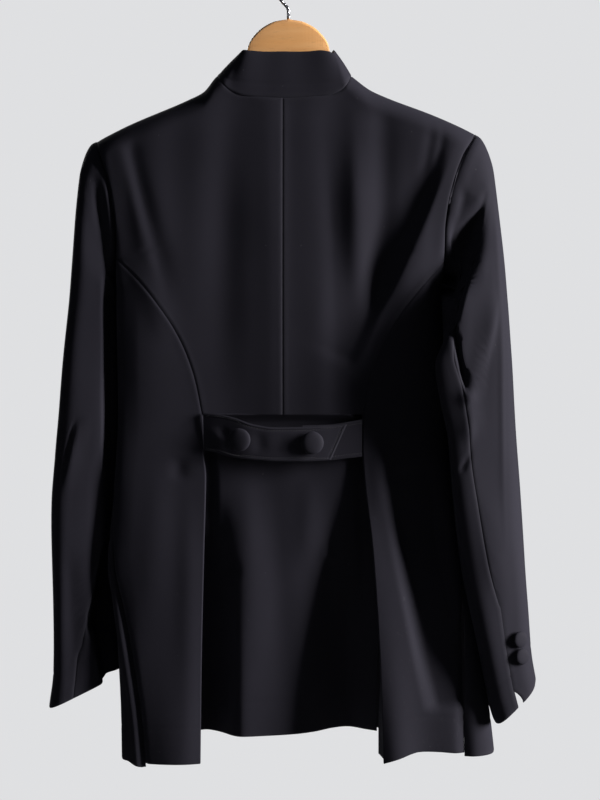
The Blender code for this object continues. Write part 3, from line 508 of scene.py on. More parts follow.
def piece_of(bm, name, smooth=True):
    """Ends a bmesh and makes it a piece, which stands at the origin."""
    mesh = bpy.data.meshes.new(name)
    bm.to_mesh(mesh)
    bm.free()
    if smooth:
        mesh.shade_smooth()
    piece = bpy.data.objects.new(name, mesh)
    bpy.context.scene.collection.objects.link(piece)
    return piece


def note_seams(mesh, distances):
    """Stores each point's distance from the nearest seam in mm, which the cloth's materials read."""
    edge = mesh.attributes.new("seam_distance", "FLOAT", "POINT")
    edge.data.foreach_set("value", distances.astype(np.float32))


def grid_area(points, present=None):
    """Area of a grid of points, or of those of its faces that are present."""
    first = points[1:, :-1] - points[:-1, :-1]
    second = points[:-1, 1:] - points[:-1, :-1]
    third = points[1:, :-1] - points[1:, 1:]
    fourth = points[:-1, 1:] - points[1:, 1:]
    cells = np.linalg.norm(np.cross(first, second), axis=-1) / 2
    cells = cells + np.linalg.norm(np.cross(third, fourth), axis=-1) / 2
    return cells.sum() if present is None else (cells * present).sum()


# What stands for a seam's distance where there is none, and how wide an edge of cloth is rounded.
FAR = 100.0
CLOTH_EDGE = 0.45


def cloth(name, points, normal, wall=CLOTH, present=None, seams=""):
    """A piece of cloth from its grid of outer points: a fine skin with its wall's thickness behind it."""
    rows, columns = points.shape[:2]
    bm = bmesh.new()
    bmesh.ops.create_grid(bm, x_segments=columns - 1, y_segments=rows - 1, size=1.0)
    bm.verts.ensure_lookup_table()
    place = np.array([vert.co[:2] for vert in bm.verts])
    column = np.rint((place[:, 0] + 1) / 2 * (columns - 1)).astype(int)
    row = np.rint((1 - place[:, 1]) / 2 * (rows - 1)).astype(int)
    flat = (points * MM)[row, column]
    for vert, co in zip(bm.verts, flat):
        vert.co = co
    bm.faces.ensure_lookup_table()
    middle_face = bm.faces[len(bm.faces) // 2]
    middle_face.normal_update()
    middle = middle_face.verts[0].index
    if middle_face.normal.dot(Vector(normal[row[middle], column[middle]])) < 0:
        bmesh.ops.reverse_faces(bm, faces=bm.faces)
    if present is not None:
        gone = []
        for face in bm.faces:
            at = [vert.index for vert in face.verts]
            if not present[min(row[i] for i in at), min(column[i] for i in at)]:
                gone.append(face)
        bmesh.ops.delete(bm, geom=gone, context="FACES")
    piece = piece_of(bm, name)
    mesh = piece.data
    across = lengths(points, 1)
    across = (across - across[:, columns // 2, None]) * MM
    down = lengths(points, 0) * MM
    near = edge_distance(points, seams) if seams else np.full(points.shape[:2], FAR)
    if present is None:
        order = (row, column)
    else:
        lookup = {tuple(np.round(co, 7)): (r, c) for co, r, c in zip(flat, row, column)}
        found = [lookup.get(tuple(np.round(vert.co, 7)), (0, 0)) for vert in mesh.vertices]
        order = tuple(np.array(found).T)
    corner = np.empty(len(mesh.loops), dtype=np.int32)
    mesh.loops.foreach_get("vertex_index", corner)
    uv = np.stack([across[order][corner], -down[order][corner]], axis=-1)
    mesh.uv_layers.new(name="cut").data.foreach_set("uv", uv.ravel())
    note_seams(mesh, near[order])
    solid = piece.modifiers.new("wall", "SOLIDIFY")
    solid.thickness = wall * MM
    solid.offset = -1.0
    solid.use_rim = True
    rounded = piece.modifiers.new("edges", "BEVEL")
    rounded.width = CLOTH_EDGE * MM
    rounded.segments = 2
    rounded.limit_method = "ANGLE"
    rounded.angle_limit = math.radians(62)
    piece["cut"] = [float(across.max() - across.min()), float(down.max())]
    piece["cut_area"] = float(grid_area(points, present)) * MM * MM
    return piece


def dress(piece, material, slot, *nodes):
    """Gives a piece its material, hangs it from the root body, and hides the solids that it stands for."""
    piece.data.materials.append(material)
    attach(piece, "root")
    if nodes:
        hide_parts(*nodes)
    return piece


def sew(node, points, normal, material, seams, wall=CLOTH, present=None):
    """Makes a hanging piece from its grid, for the solid of that name."""
    piece = cloth(f"{node}_cloth", points, normal, wall, present, seams)
    dress(piece, material, "suiting", node)


# ------------------------------------------------------------------ materials


def socket(group, name, kind, direction, value=None):
    """A named input or output of a node group."""
    made = group.interface.new_socket(name=name, in_out=direction, socket_type=kind)
    if value is not None:
        made.default_value = value
    return made


class Tree:
    """Short hand for adding and linking the nodes of a material or a group."""

    def __init__(self, tree):
        self.tree = tree

    def feed(self, target, value):
        """Links an output to an input, or sets a plain value on the input itself."""
        if isinstance(value, bpy.types.NodeSocket):
            self.tree.links.new(value, target)
        else:
            target.default_value = value

    def add(self, kind, inputs=None, **settings):
        """A node with its settings, and what goes into it."""
        node = self.tree.nodes.new(kind)
        for name, value in settings.items():
            setattr(node, name, value)
        for name, value in (inputs or {}).items():
            self.feed(node.inputs[name], value)
        return node

    def maths(self, operation, a, b=None, c=None, clamp=False):
        """The result of a sum on up to three values."""
        node = self.add("ShaderNodeMath", operation=operation, use_clamp=clamp)
        for target, value in zip(node.inputs, (a, b, c)):
            if value is not None:
                self.feed(target, value)
        return node.outputs[0]

    def mix(self, factor, first, second):
        """A colour between two."""
        node = self.add("ShaderNodeMix", data_type="RGBA")
        for name, value in (("Factor", factor), ("A", first), ("B", second)):
            self.feed(next(s for s in node.inputs if s.name == name and s.enabled), value)
        return next(s for s in node.outputs if s.enabled)


def twill_group():
    """Fine twill weave: a height from two sets of threads, and specks of loose fibre."""
    group = bpy.data.node_groups.new("twill weave", "ShaderNodeTree")
    socket(group, "Threads per metre", "NodeSocketFloat", "INPUT", 1900.0)
    socket(group, "Height", "NodeSocketFloat", "OUTPUT")
    socket(group, "Fibre", "NodeSocketFloat", "OUTPUT")
    t = Tree(group)
    given = t.add("NodeGroupInput")
    out = t.add("NodeGroupOutput")
    uv = t.add("ShaderNodeUVMap", uv_map="cut")
    split = t.add("ShaderNodeSeparateXYZ", {"Vector": uv.outputs["UV"]})
    threads_a_metre = given.outputs["Threads per metre"]
    around = 2 * math.pi
    diagonal = t.maths("ADD", split.outputs["X"], t.maths("MULTIPLY", split.outputs["Y"], 0.6))
    twill = t.maths("MULTIPLY", t.maths("MULTIPLY", diagonal, threads_a_metre), around * 0.5)
    ribs = t.maths("MULTIPLY_ADD", t.maths("SINE", twill), 0.5, 0.5)
    warp = t.maths("MULTIPLY", t.maths("MULTIPLY", split.outputs["X"], threads_a_metre), around)
    threads = t.maths("MULTIPLY_ADD", t.maths("SINE", warp), 0.5, 0.5)
    slub = t.add(
        "ShaderNodeTexNoise", {"Vector": uv.outputs["UV"], "Scale": 900.0, "Detail": 3.0, "Roughness": 0.6},
    )
    height = t.maths("MULTIPLY_ADD", ribs, 0.6, t.maths("MULTIPLY", threads, 0.25))
    height = t.maths("ADD", height, t.maths("MULTIPLY", slub.outputs["Fac"], 0.35))
    specks = t.add("ShaderNodeTexVoronoi", {"Vector": uv.outputs["UV"], "Scale": 160.0, "Randomness": 1.0})
    close = t.maths("LESS_THAN", specks.outputs["Distance"], 0.11)
    chosen = t.add("ShaderNodeSeparateColor", {"Color": specks.outputs["Color"]})
    rare = t.maths("GREATER_THAN", chosen.outputs["Red"], 0.975)
    t.feed(out.inputs["Height"], height)
    t.feed(out.inputs["Fibre"], t.maths("MULTIPLY", close, rare))
    return group


def handling_group():
    """Slow changes of tone over worn cloth, and a mask beside pressed seams, where a sheen is painted into
    the colour.
    """
    group = bpy.data.node_groups.new("handling", "ShaderNodeTree")
    socket(group, "Patch size", "NodeSocketFloat", "INPUT", 9.0)
    socket(group, "Tone", "NodeSocketFloat", "OUTPUT")
    socket(group, "Pressed sheen", "NodeSocketFloat", "OUTPUT")
    t = Tree(group)
    given = t.add("NodeGroupInput")
    out = t.add("NodeGroupOutput")
    place = t.add("ShaderNodeTexCoord")
    patches = t.add("ShaderNodeTexNoise", {
        "Vector": place.outputs["Object"], "Scale": given.outputs["Patch size"], "Detail": 4.0,
        "Roughness": 0.55,
    })
    near = t.add("ShaderNodeAttribute", attribute_name="seam_distance")
    seam = t.maths("SUBTRACT", 1.0, t.maths("DIVIDE", near.outputs["Fac"], 7.0), clamp=True)
    grain = t.add("ShaderNodeTexNoise", {"Vector": place.outputs["Object"], "Scale": 180.0, "Detail": 2.0})
    broken = t.maths("MULTIPLY", seam, t.maths("MULTIPLY_ADD", grain.outputs["Fac"], 1.2, -0.1, clamp=True))
    t.feed(out.inputs["Tone"], patches.outputs["Fac"])
    t.feed(out.inputs["Pressed sheen"], broken)
    return group


def new_material(name):
    """A material with its shader, and the tree to build it in."""
    material = bpy.data.materials.new(name)
    material.use_nodes = True
    material.node_tree.nodes.clear()
    t = Tree(material.node_tree)
    shader = t.add("ShaderNodeBsdfPrincipled")
    out = t.add("ShaderNodeOutputMaterial")
    t.feed(out.inputs["Surface"], shader.outputs["BSDF"])
    return material, t, shader


# Colours of the dyed cloth where it is darkest and lightest, of the sheen painted on pressed seams, and of
# loose fibre.
SUITING_DARK = (0.0135, 0.0130, 0.0180, 1.0)
SUITING_LIGHT = (0.0190, 0.0183, 0.0252, 1.0)
BUTTON_LIGHT = (0.0200, 0.0193, 0.0262, 1.0)
PRESSED_SEAM_SHEEN = (0.030, 0.030, 0.036, 1.0)
LINT = (0.16, 0.16, 0.17, 1.0)


def suiting(name, twill, handling, light, roughness):
    """Near-black smooth suiting with a blue cast."""
    material, t, shader = new_material(name)
    weave = t.add("ShaderNodeGroup", node_tree=twill)
    worn = t.add("ShaderNodeGroup", node_tree=handling)
    tone = t.mix(worn.outputs["Tone"], SUITING_DARK, light)
    # pressed seams get a painted sheen: a lighter colour standing in for their shine, beside the real drop in
    # roughness below
    sheen_painted = t.mix(t.maths("MULTIPLY", worn.outputs["Pressed sheen"], 0.35), tone, PRESSED_SEAM_SHEEN)
    linty = t.mix(t.maths("MULTIPLY", weave.outputs["Fibre"], 0.25), sheen_painted, LINT)
    t.feed(shader.inputs["Base Color"], linty)
    rough = t.maths("MULTIPLY_ADD", worn.outputs["Pressed sheen"], -0.12, roughness)
    rough = t.maths("MULTIPLY_ADD", worn.outputs["Tone"], 0.08, rough, clamp=True)
    t.feed(shader.inputs["Roughness"], rough)
    relief = t.add(
        "ShaderNodeBump", {"Height": weave.outputs["Height"], "Strength": 0.35, "Distance": 0.00012},
    )
    t.feed(shader.inputs["Normal"], relief.outputs["Normal"])
    t.feed(shader.inputs["Specular IOR Level"], 0.1)
    t.feed(shader.inputs["Sheen Weight"], 0.02)
    t.feed(shader.inputs["Sheen Roughness"], 0.5)
    t.feed(shader.inputs["Sheen Tint"], (0.75, 0.78, 1.0, 1.0))
    return material


def thread_material():
    """Black sewing thread, its tone uneven from twist to twist."""
    material, t, shader = new_material("black thread")
    place = t.add("ShaderNodeTexCoord")
    twist = t.add("ShaderNodeTexNoise", {"Vector": place.outputs["Object"], "Scale": 2500.0, "Detail": 1.0})
    colour = t.mix(twist.outputs["Fac"], (0.016, 0.016, 0.02, 1.0), (0.04, 0.04, 0.046, 1.0))
    t.feed(shader.inputs["Base Color"], colour)
    t.feed(shader.inputs["Roughness"], 0.5)
    return material


WOOD_DARK = (0.88, 0.41, 0.12, 1.0)
WOOD_LIGHT = (0.98, 0.57, 0.25, 1.0)
WOOD_RINGS = (0.79, 0.39, 0.14, 1.0)
WOOD_PORES = (0.26, 0.11, 0.04, 1.0)


def wood_material():
    """Lacquered beech: a warm tan with fine grain along the hanger's arms."""
    material, t, shader = new_material("varnished wood")
    place = t.add("ShaderNodeTexCoord")
    stretched = t.add("ShaderNodeMapping", {"Vector": place.outputs["Object"], "Scale": (7.0, 60.0, 60.0)})
    grain = t.add("ShaderNodeTexNoise", {"Vector": stretched.outputs["Vector"], "Scale": 2.6, "Detail": 6.0})
    fine = t.add("ShaderNodeMapping", {"Vector": place.outputs["Object"], "Scale": (30.0, 420.0, 420.0)})
    pores = t.add("ShaderNodeTexNoise", {"Vector": fine.outputs["Vector"], "Scale": 3.0, "Detail": 3.0})
    rings = t.add(
        "ShaderNodeTexWave",
        {"Vector": stretched.outputs["Vector"], "Scale": 0.5, "Distortion": 5.0, "Detail": 2.0},
        bands_direction="Z",
    )
    base = t.mix(grain.outputs["Fac"], WOOD_DARK, WOOD_LIGHT)
    ringed = t.mix(t.maths("MULTIPLY", rings.outputs["Fac"], 0.18), base, WOOD_RINGS)
    dots = t.maths("MULTIPLY", t.maths("LESS_THAN", pores.outputs["Fac"], 0.36), 0.2)
    t.feed(shader.inputs["Base Color"], t.mix(dots, ringed, WOOD_PORES))
    t.feed(shader.inputs["Roughness"], t.maths("MULTIPLY_ADD", grain.outputs["Fac"], 0.12, 0.3))
    relief = t.add("ShaderNodeBump", {"Height": pores.outputs["Fac"], "Strength": 0.25, "Distance": 0.0001})
    t.feed(shader.inputs["Normal"], relief.outputs["Normal"])
    t.feed(shader.inputs["Coat Weight"], 0.5)
    t.feed(shader.inputs["Coat Roughness"], 0.18)
    return material


def steel_material():
    """Drawn steel wire, slightly dulled."""
    material, t, shader = new_material("steel wire")
    place = t.add("ShaderNodeTexCoord")
    drawn = t.add("ShaderNodeMapping", {"Vector": place.outputs["Object"], "Scale": (500.0, 500.0, 60.0)})
    scratch = t.add("ShaderNodeTexNoise", {"Vector": drawn.outputs["Vector"], "Scale": 1.0, "Detail": 3.0})
    dull = t.add("ShaderNodeTexNoise", {"Vector": place.outputs["Object"], "Scale": 90.0, "Detail": 2.0})
    colour = t.mix(dull.outputs["Fac"], (0.42, 0.43, 0.45, 1.0), (0.66, 0.66, 0.67, 1.0))
    t.feed(shader.inputs["Base Color"], colour)
    t.feed(shader.inputs["Roughness"], t.maths("MULTIPLY_ADD", scratch.outputs["Fac"], 0.22, 0.2))
    relief = t.add("ShaderNodeBump", {"Height": scratch.outputs["Fac"], "Strength": 0.2, "Distance": 0.00005})
    t.feed(shader.inputs["Normal"], relief.outputs["Normal"])
    t.feed(shader.inputs["Metallic"], 1.0)
    return material


# ------------------------------------------------------------------ seams

# The curved seam from the armhole to the waist: how far it is from the centre-back seam, by height.
PRINCESS = table(
    "z out",
    (-335, 192), (-343, 183), (-360, 165), (-387, 142), (-419, 120), (-448, 106), (-479, 96), (-514, 89),
)
# The side backs' folded edges below the waist.
PLEAT_EDGE = table(
    "z left right",
    (-514, 95.5, -83.5), (-554, 94.5, -83.5), (-582, 91.5, -85), (-666, 93, -94), (-778, 95, -101),
    (-901, 96, -105),
)
# The side seam's turn towards the back, in degrees from the very side.
SIDE_SEAM = table(
    "z left right",
    (-366, 0, 0), (-575, 0, 0), (-620, 4, 0), (-669, 10.5, 4), (-720, 17, 14), (-768, 22.5, 23),
    (-812, 26, 28.5), (-857, 28.5, 32.5), (-901, 30, 34.5),
)
# Half the side seam's gap, as an angle. Below 0, the two pieces lie over each other.
SIDE_SEAM_GAP = -0.0005
# The neck seam behind, from neck point to neck point.
NECK_BACK = table(
    "x z",
    (-72, -132), (-66, -146), (-59, -154), (-45, -159.5), (6, -163), (50, -160), (63, -155), (74, -145),
    (81, -132),
)
# The fronts' edges: how far each is from the middle on its own side. Below 0 it has crossed over.
FRONT_EDGE = table(
    "z out",
    (-132, 77), (-160, 68), (-200, 46), (-260, 14), (-330, -26), (-400, -51), (-440, -57), (-901, -58),
)
NECK_POINT = {"left": 81.0, "right": -72.0}
NECK_POINT_Z = -132.0
PRINCESS_TOP = {"left": -343.0, "right": -345.0}
PANEL_HEM = {"side_back": -894.0, "front": -898.0}
# How far below the ridge the pieces that meet on the shoulder start.
RIDGE_GAP = 0.002
# How far in from the very side, and below the ridge, the folds come to their full height.
SIDE_CALM = 26.0
RIDGE_CALM = 30.0


def princess_x(side, z, gap):
    """Where the curved seam runs, moved outwards by a gap."""
    return BACK_CENTRE + SIGN[side] * (run(PRINCESS, "z", "out", z) + gap)


def side_seam(side, z, shift):
    """The angle of the side seam, moved towards the back by a shift."""
    turn = np.radians(run(SIDE_SEAM, "z", side, z)) + shift
    return turn if side == "left" else math.pi - turn


def shoulder_drops():
    """Heights below the shoulder ridge that step evenly round the shoulder's curve."""
    turns = np.radians([0, 2, 4.5, 8, 13, 20, 28, 37, 47, 58, 70, 80, 90])
    return SHOULDER_ROUND * (1 - np.cos(turns))


def body_calm(x, z, side):
    """1 over most of a body panel, 0 at the very side, where it meets the sleeve."""
    return ease(np.abs(side_x(side, z) - x) / SIDE_CALM)


def below_ridge(x, z):
    """0 on the shoulder's ridge, 1 from a little below it."""
    return ease((run(RIDGE, "x", "z", x) - z) / RIDGE_CALM)


# The groove in which a side seam lies: its depth and width, and how far the front swells out beside it.
SIDE_GROOVE = {"left": (3.6, 3.2, 2.4), "right": (4.0, 7.0, 0.0)}


def side_groove(side, z, off_seam, swells):
    """How far the cloth falls beside a side seam, from below the waist down to the hem."""
    depth, width, swell = SIDE_GROOVE[side]
    fall = bump(off_seam, depth, width) - bump(off_seam, swell * swells, 5, 9)
    return fall * ease((-575 - z) / 110)


# How far the hem is lifted: near each side seam, and in the middle of the fronts.
HEM_RISE = {
    "left": table("x rise", (160, 0), (168, 2), (176, 6), (190, 7)),
    "right": table("x rise", (-240, 9), (-190, 8), (-165, 10), (-145, 11), (-120, 5), (-104, 0)),
}
FRONT_HEM_RISE = 13.0


def lift_hem(points, side):
    """Raises a panel's hem near the side seam, and in the middle of the fronts."""
    x, y, z = (points[..., k] for k in range(3))
    behind = run(HEM_RISE[side], "x", "rise", x) * ease((y + 30) / 40)
    before = FRONT_HEM_RISE * ease((-y - 30) / 30) * ease((130 - np.abs(x)) / 40)
    points[..., 2] = z + (behind + before) * ease((-780 - z) / 110)


def back_field(x, z):
    """How far the folds, the sharp edges and the waviness lift the back."""
    return folds(BACK_FOLDS, x, z) - drops_behind(BACK_EDGES, x, z) + unevenness(x, z, 0.55, 11)


# ------------------------------------------------------------------ body panels


def upper_back(side, material):
    """Upper back: shoulder and neck seam, centre-back seam, waist, princess seam and armhole."""
    shoulder_z = ARMHOLE[side]["top"]
    waist_z = WAIST + SEAM
    centre_x = BACK_CENTRE + SIGN[side] * SEAM / 2
    neck_part = 0.6
    across = shares(70, 205)
    on_ridge = across <= neck_part
    ridge_x = line(side_x(side, shoulder_z), NECK_POINT[side], across / neck_part)
    neck_turn = (across - neck_part) / (1 - neck_part) * math.pi / 2
    neck_x = line(centre_x, NECK_POINT[side], np.cos(neck_turn))
    top_x = np.where(on_ridge, ridge_x, neck_x)
    top_z = np.where(on_ridge, run(RIDGE, "x", "z", top_x) - RIDGE_GAP, run(NECK_BACK, "x", "z", top_x))
    top_z[0] = shoulder_z
    top_angle = back_angle(top_x, top_z)
    top_angle[0] = side_angle(side, "back")
    drops = shoulder_drops()
    armhole_z = join(
        shoulder_z - drops,
        np.linspace(shoulder_z - drops[-1], PRINCESS_TOP[side], 30),
    )
    lower = shares(58, 170, ends="last")
    outer_z = join(armhole_z, line(PRINCESS_TOP[side], waist_z, lower))
    outer_angle = back_angle(princess_x(side, outer_z, -SEAM / 2), outer_z)
    outer_angle[: len(armhole_z)] = side_angle(side, "back")
    down = (shoulder_z - outer_z) / (shoulder_z - waist_z)
    inner_z = line(top_z[-1], waist_z, down)
    bottom_x = line(princess_x(side, waist_z, -SEAM / 2), centre_x, across)
    angle, z = patch(
        (top_angle, top_z),
        (back_angle(bottom_x, waist_z), waist_z),
        (outer_angle, outer_z),
        (back_angle(centre_x, inner_z), inner_z),
        down, across,
    )
    points = form(angle, z)
    normal = form_normals(angle, z, side)
    x = points[..., 0]
    lift = back_field(x, z) * body_calm(x, z, side) * below_ridge(x, z)
    points = points + normal * lift[..., None]
    points = press(points, grid_normals(points, normal), "first last top", seed=3)
    sew(f"back_{side}", points, normal, material, "first last top")


# How far the left front lies behind the right one where they cross.
UNDERLAP = 3.0


def front(side, material):
    """Front: shoulder, crossing front edge, hem, side seam and armhole. The right one lies on top."""
    shoulder_z = ARMHOLE[side]["top"]
    under_z = ARMHOLE[side]["bottom"]
    hem = PANEL_HEM["front"]
    across = shares(66, 240)
    top_x = line(side_x(side, shoulder_z), NECK_POINT[side], across)
    top_z = run(RIDGE, "x", "z", top_x) - RIDGE_GAP
    top_z[0] = shoulder_z
    top_angle = front_angle(top_x, top_z, side)
    top_angle[0] = side_angle(side, "front")
    drops = shoulder_drops()
    armhole_z = join(shoulder_z - drops, np.linspace(shoulder_z - drops[-1], under_z, 26))
    upper_z = join(armhole_z, np.linspace(under_z, WAIST, 34))
    skirt_z = line(WAIST, hem, shares(90, WAIST - hem, ends="last"))
    outer_z = join(upper_z, skirt_z)
    outer_angle = side_seam(side, outer_z, -SIDE_SEAM_GAP)
    outer_angle[: len(armhole_z)] = side_angle(side, "front")
    inner_z = outer_z.copy()
    to_waist = (shoulder_z - upper_z) / (shoulder_z - WAIST)
    inner_z[: len(upper_z)] = line(top_z[-1], WAIST, to_waist)
    edge_x = FRONT_CENTRE + SIGN[side] * run(FRONT_EDGE, "z", "out", inner_z)
    inner_angle = front_angle(edge_x, inner_z, side)
    down = (shoulder_z - outer_z) / (shoulder_z - hem)
    angle, z = patch(
        (top_angle, top_z),
        (line(outer_angle[-1], inner_angle[-1], across), hem),
        (outer_angle, outer_z),
        (inner_angle, inner_z),
        down, across,
    )
    points = form(angle, z)
    normal = form_normals(angle, z, side)
    x = points[..., 0]
    lift = folds(FRONT_FOLDS, x, z) + unevenness(x, z, 0.55, 21)
    lift = lift * body_calm(x, z, side) * below_ridge(x, z)
    lift = lift * ease((-points[..., 1] - 8) / 20)
    lift = lift - side_groove(side, z, edge_distance(points, "first"), 1.0)
    points = points + normal * lift[..., None]
    lift_hem(points, side)
    if side == "left":
        lies = ease((130 - points[..., 0]) / 45) * ease((-points[..., 1] - 15) / 15) * ease((-210 - z) / 55)
        points = points - normal * (UNDERLAP * lies)[..., None]
    points = press(points, grid_normals(points, normal), "first top", "last bottom", seed=5)
    sew(f"front_{side}", points, normal, material, "first top last bottom")


# The pleat's return ply: its length and depth under the panel at the waist, and where its inner end stands at
# the hem. The turn is the roll of its fold, from the panel's edge to the ply behind.
PLY_LENGTH_AT_WAIST = 43.0
PLY_UNDER = 5.4
PLY_FOOT = {"left": (101.0, 16.0), "right": (-101.0, 22.0)}
PLY_COLUMNS = 16
PLEAT_TURN = table(
    "x y",
    (-0.5, -0.15), (-1.2, -0.9), (-1.5, -2.4), (-0.9, -4.0), (0.6, -5.0), (2.2, -5.3), (4.0, -5.4),
)


def ply_foot(side, z):
    """Inner end of the pleat's return ply: folded flat at the waist, standing open at the hem."""
    opened = ease((WAIST - z) / (WAIST - BACK_SKIRT_HEM)) ** 0.8
    edge = run(PLEAT_EDGE, "z", side, z)
    flat_x = edge + SIGN[side] * PLY_LENGTH_AT_WAIST
    flat_y = back_y(flat_x, z) - PLY_UNDER
    foot_x, foot_y = PLY_FOOT[side]
    return line(flat_x, foot_x, opened), line(flat_y, foot_y, opened), opened


def return_ply(side, edges, levels):
    """The pleat's fold and return ply behind a side back's edge, level by level."""
    turn_x, turn_y = PLEAT_TURN["x"], PLEAT_TURN["y"]
    steps = len(turn_x)
    part = np.arange(1, PLY_COLUMNS + 1) / PLY_COLUMNS
    ply = np.zeros((len(levels), steps + PLY_COLUMNS, 3))
    for row, edge, level in zip(ply, edges, levels):
        foot_x, foot_y, opened = ply_foot(side, level)
        row[:steps, 0] = edge[0] + SIGN[side] * turn_x * line(1.0, 0.5, opened)
        row[:steps, 1] = edge[1] + turn_y * line(1.0, 1.15, opened)
        x = line(row[steps - 1, 0], foot_x, part)
        y = line(row[steps - 1, 1], foot_y, part) - 3.0 * opened * np.sin(part * math.pi)
        if opened < 0.15:
            y = line(back_y(x, level) - PLY_UNDER, y, opened / 0.15)
        row[steps:, 0] = x
        row[steps:, 1] = y
        row[:, 2] = level
    return ply


def side_back(side, material):
    """Side back: armhole to hem; below the waist its inner edge folds back as the pleat's return ply."""
    top_z = PRINCESS_TOP[side] - SEAM
    under_z = ARMHOLE[side]["bottom"]
    across = shares(46, 95)
    upper = shares(62, 160, ends="first")
    top_angle = np.full(len(across), side_angle(side, "back"))
    outer_z = line(under_z, WAIST, upper)
    outer_angle = side_seam(side, outer_z, SIDE_SEAM_GAP)
    top_angle[0] = outer_angle[0]
    inner_z = line(top_z, WAIST, upper)
    inner_angle = back_angle(princess_x(side, inner_z, SEAM / 2), inner_z)
    inner_angle[0] = top_angle[-1]
    angle, z = patch(
        (top_angle, line(under_z, top_z, across)),
        (line(outer_angle[-1], inner_angle[-1], across), WAIST),
        (outer_angle, outer_z),
        (inner_angle, inner_z),
        upper, across,
    )
    low_z = line(WAIST, PANEL_HEM["side_back"], shares(120, 380, ends="last"))[1:]
    low_angle = line(
        side_seam(side, low_z, SIDE_SEAM_GAP)[:, None],
        back_angle(run(PLEAT_EDGE, "z", side, low_z), low_z)[:, None],
        across[None, :],
    )
    angle = np.concatenate([angle, low_angle])
    z = np.concatenate([z, np.broadcast_to(low_z[:, None], low_angle.shape)])
    main = form(angle, z)
    normal = form_normals(angle, z, side)
    calm = np.maximum(body_calm(main[..., 0], z, side), ease((-700 - z) / 60) * 0.8)
    lift = back_field(main[..., 0], z) * calm * ease((main[..., 1] - 6) / 18)
    lift = lift - side_groove(side, z, edge_distance(main, "first"), 0.0)
    main = main + normal * lift[..., None]
    lift_hem(main, side)
    main_normal = grid_normals(main, normal)
    seam_press = press(main, main_normal, "first last top", seed=7)
    hem_press = press(main, main_normal, "first", "bottom", seed=8)
    low = ease((WAIST - z) / 14)[..., None]
    main = seam_press * (1 - low) + hem_press * low
    points = np.concatenate([main, return_ply(side, main[:, -1], z[:, -1])], axis=1)
    own = grid_normals(points)
    own = own * np.where(np.sum(own[:, 3:4] * normal[:, 3:4], axis=-1, keepdims=True) < 0, -1.0, 1.0)
    present = np.ones((len(z) - 1, points.shape[1] - 1), bool)
    present[: len(upper) - 1, len(across) - 1:] = False
    sew(f"side_back_{side}", points, own, material, "first top", present=present)


# The back skirt's hem seen from below, from its left edge to its right one.
SKIRT_HEM_LINE = table(
    "share x y",
    (0.0, 99, 14), (0.06, 92, 11), (0.14, 78, 20), (0.27, 52, 46), (0.41, 21, 41), (0.55, -10, 33),
    (0.66, -32, 20), (0.77, -49, 4), (0.85, -67, -4), (0.95, -88, 11), (1.0, -99, 18),
)
# How far the skirt lies behind the back's outer face: in the middle of the waist, and under the side backs.
SKIRT_TUCK = 7.0
SKIRT_UNDER = 10.2
SKIRT_FOLDS = table(
    FOLD_COLUMNS,
    (68, -672, 60, -700, 0, 7, 7, -2.2, 0.2, 0, 0),
    (74, -600, 66, -740, -4, 8, 12, -2.0, 0, 0, 0),
    (48, -560, 46, -800, 2, 12, 16, 1.5, 0, 0, 0.2),
    (20, -570, 6, -860, 2, 14, 16, -1.4, 0, 0, 0.3),
    (-28, -566, -24, -700, -3, 12, 14, 1.4, 0, 0, 0),
    (-52, -600, -44, -760, 0, 9, 12, -1.6, 0, 0, 0),
    (-60, -678, -34, -660, 2, 6, 7, 1.2, 0, 0, 0),
)


def back_skirt(material):
    """One piece below the waist, tucked under both side backs: flat at the waist, deeply waved at the hem."""
    across = np.linspace(0, 1, 121)
    rows = line(WAIST - SEAM, BACK_SKIRT_HEM, shares(120, 355, ends="last"))
    points = np.zeros((len(rows), len(across), 3))
    waved_x = softened(run(SKIRT_HEM_LINE, "share", "x", across), 5)
    waved_y = softened(run(SKIRT_HEM_LINE, "share", "y", across), 5)
    for r, level in enumerate(rows):
        left_x, right_x = (ply_foot(side, level)[0] for side in SIDES)
        flat_x = line(left_x, right_x, across)
        left_edge = run(PLEAT_EDGE, "z", "left", level)
        right_edge = run(PLEAT_EDGE, "z", "right", level)
        inside = np.minimum(left_edge - flat_x, flat_x - right_edge)
        under = 1 - ease((inside - 4) / 12)
        tucked = line(SKIRT_TUCK, SKIRT_UNDER, under) * ease((WAIST - level) / 7)
        tucked = np.maximum(tucked, SKIRT_UNDER * under)
        flat_y = back_y(flat_x, level) - tucked
        hang = ease((WAIST - level) / (WAIST - BACK_SKIRT_HEM)) ** 1.25
        points[r, :, 0] = line(flat_x, waved_x, hang)
        points[r, :, 1] = line(flat_y, waved_y, hang)
        points[r, :, 2] = level
    normal = grid_normals(points)
    normal = normal * np.where(normal[0, len(across) // 2, 1] < 0, -1.0, 1.0)
    x, z = points[..., 0], points[..., 2]
    clear = ease(np.minimum(across, 1 - across) / 0.12)[None, :]
    lift = (folds(SKIRT_FOLDS, x, z) + unevenness(x, z, 0.4, 31)) * clear * ease((WAIST - z) / 40)
    points = points + normal * lift[..., None]
    points = press(points, grid_normals(points, normal), "", "bottom", seed=9)
    sew("back_skirt", points, normal, material, "bottom")


# ------------------------------------------------------------------ sleeves

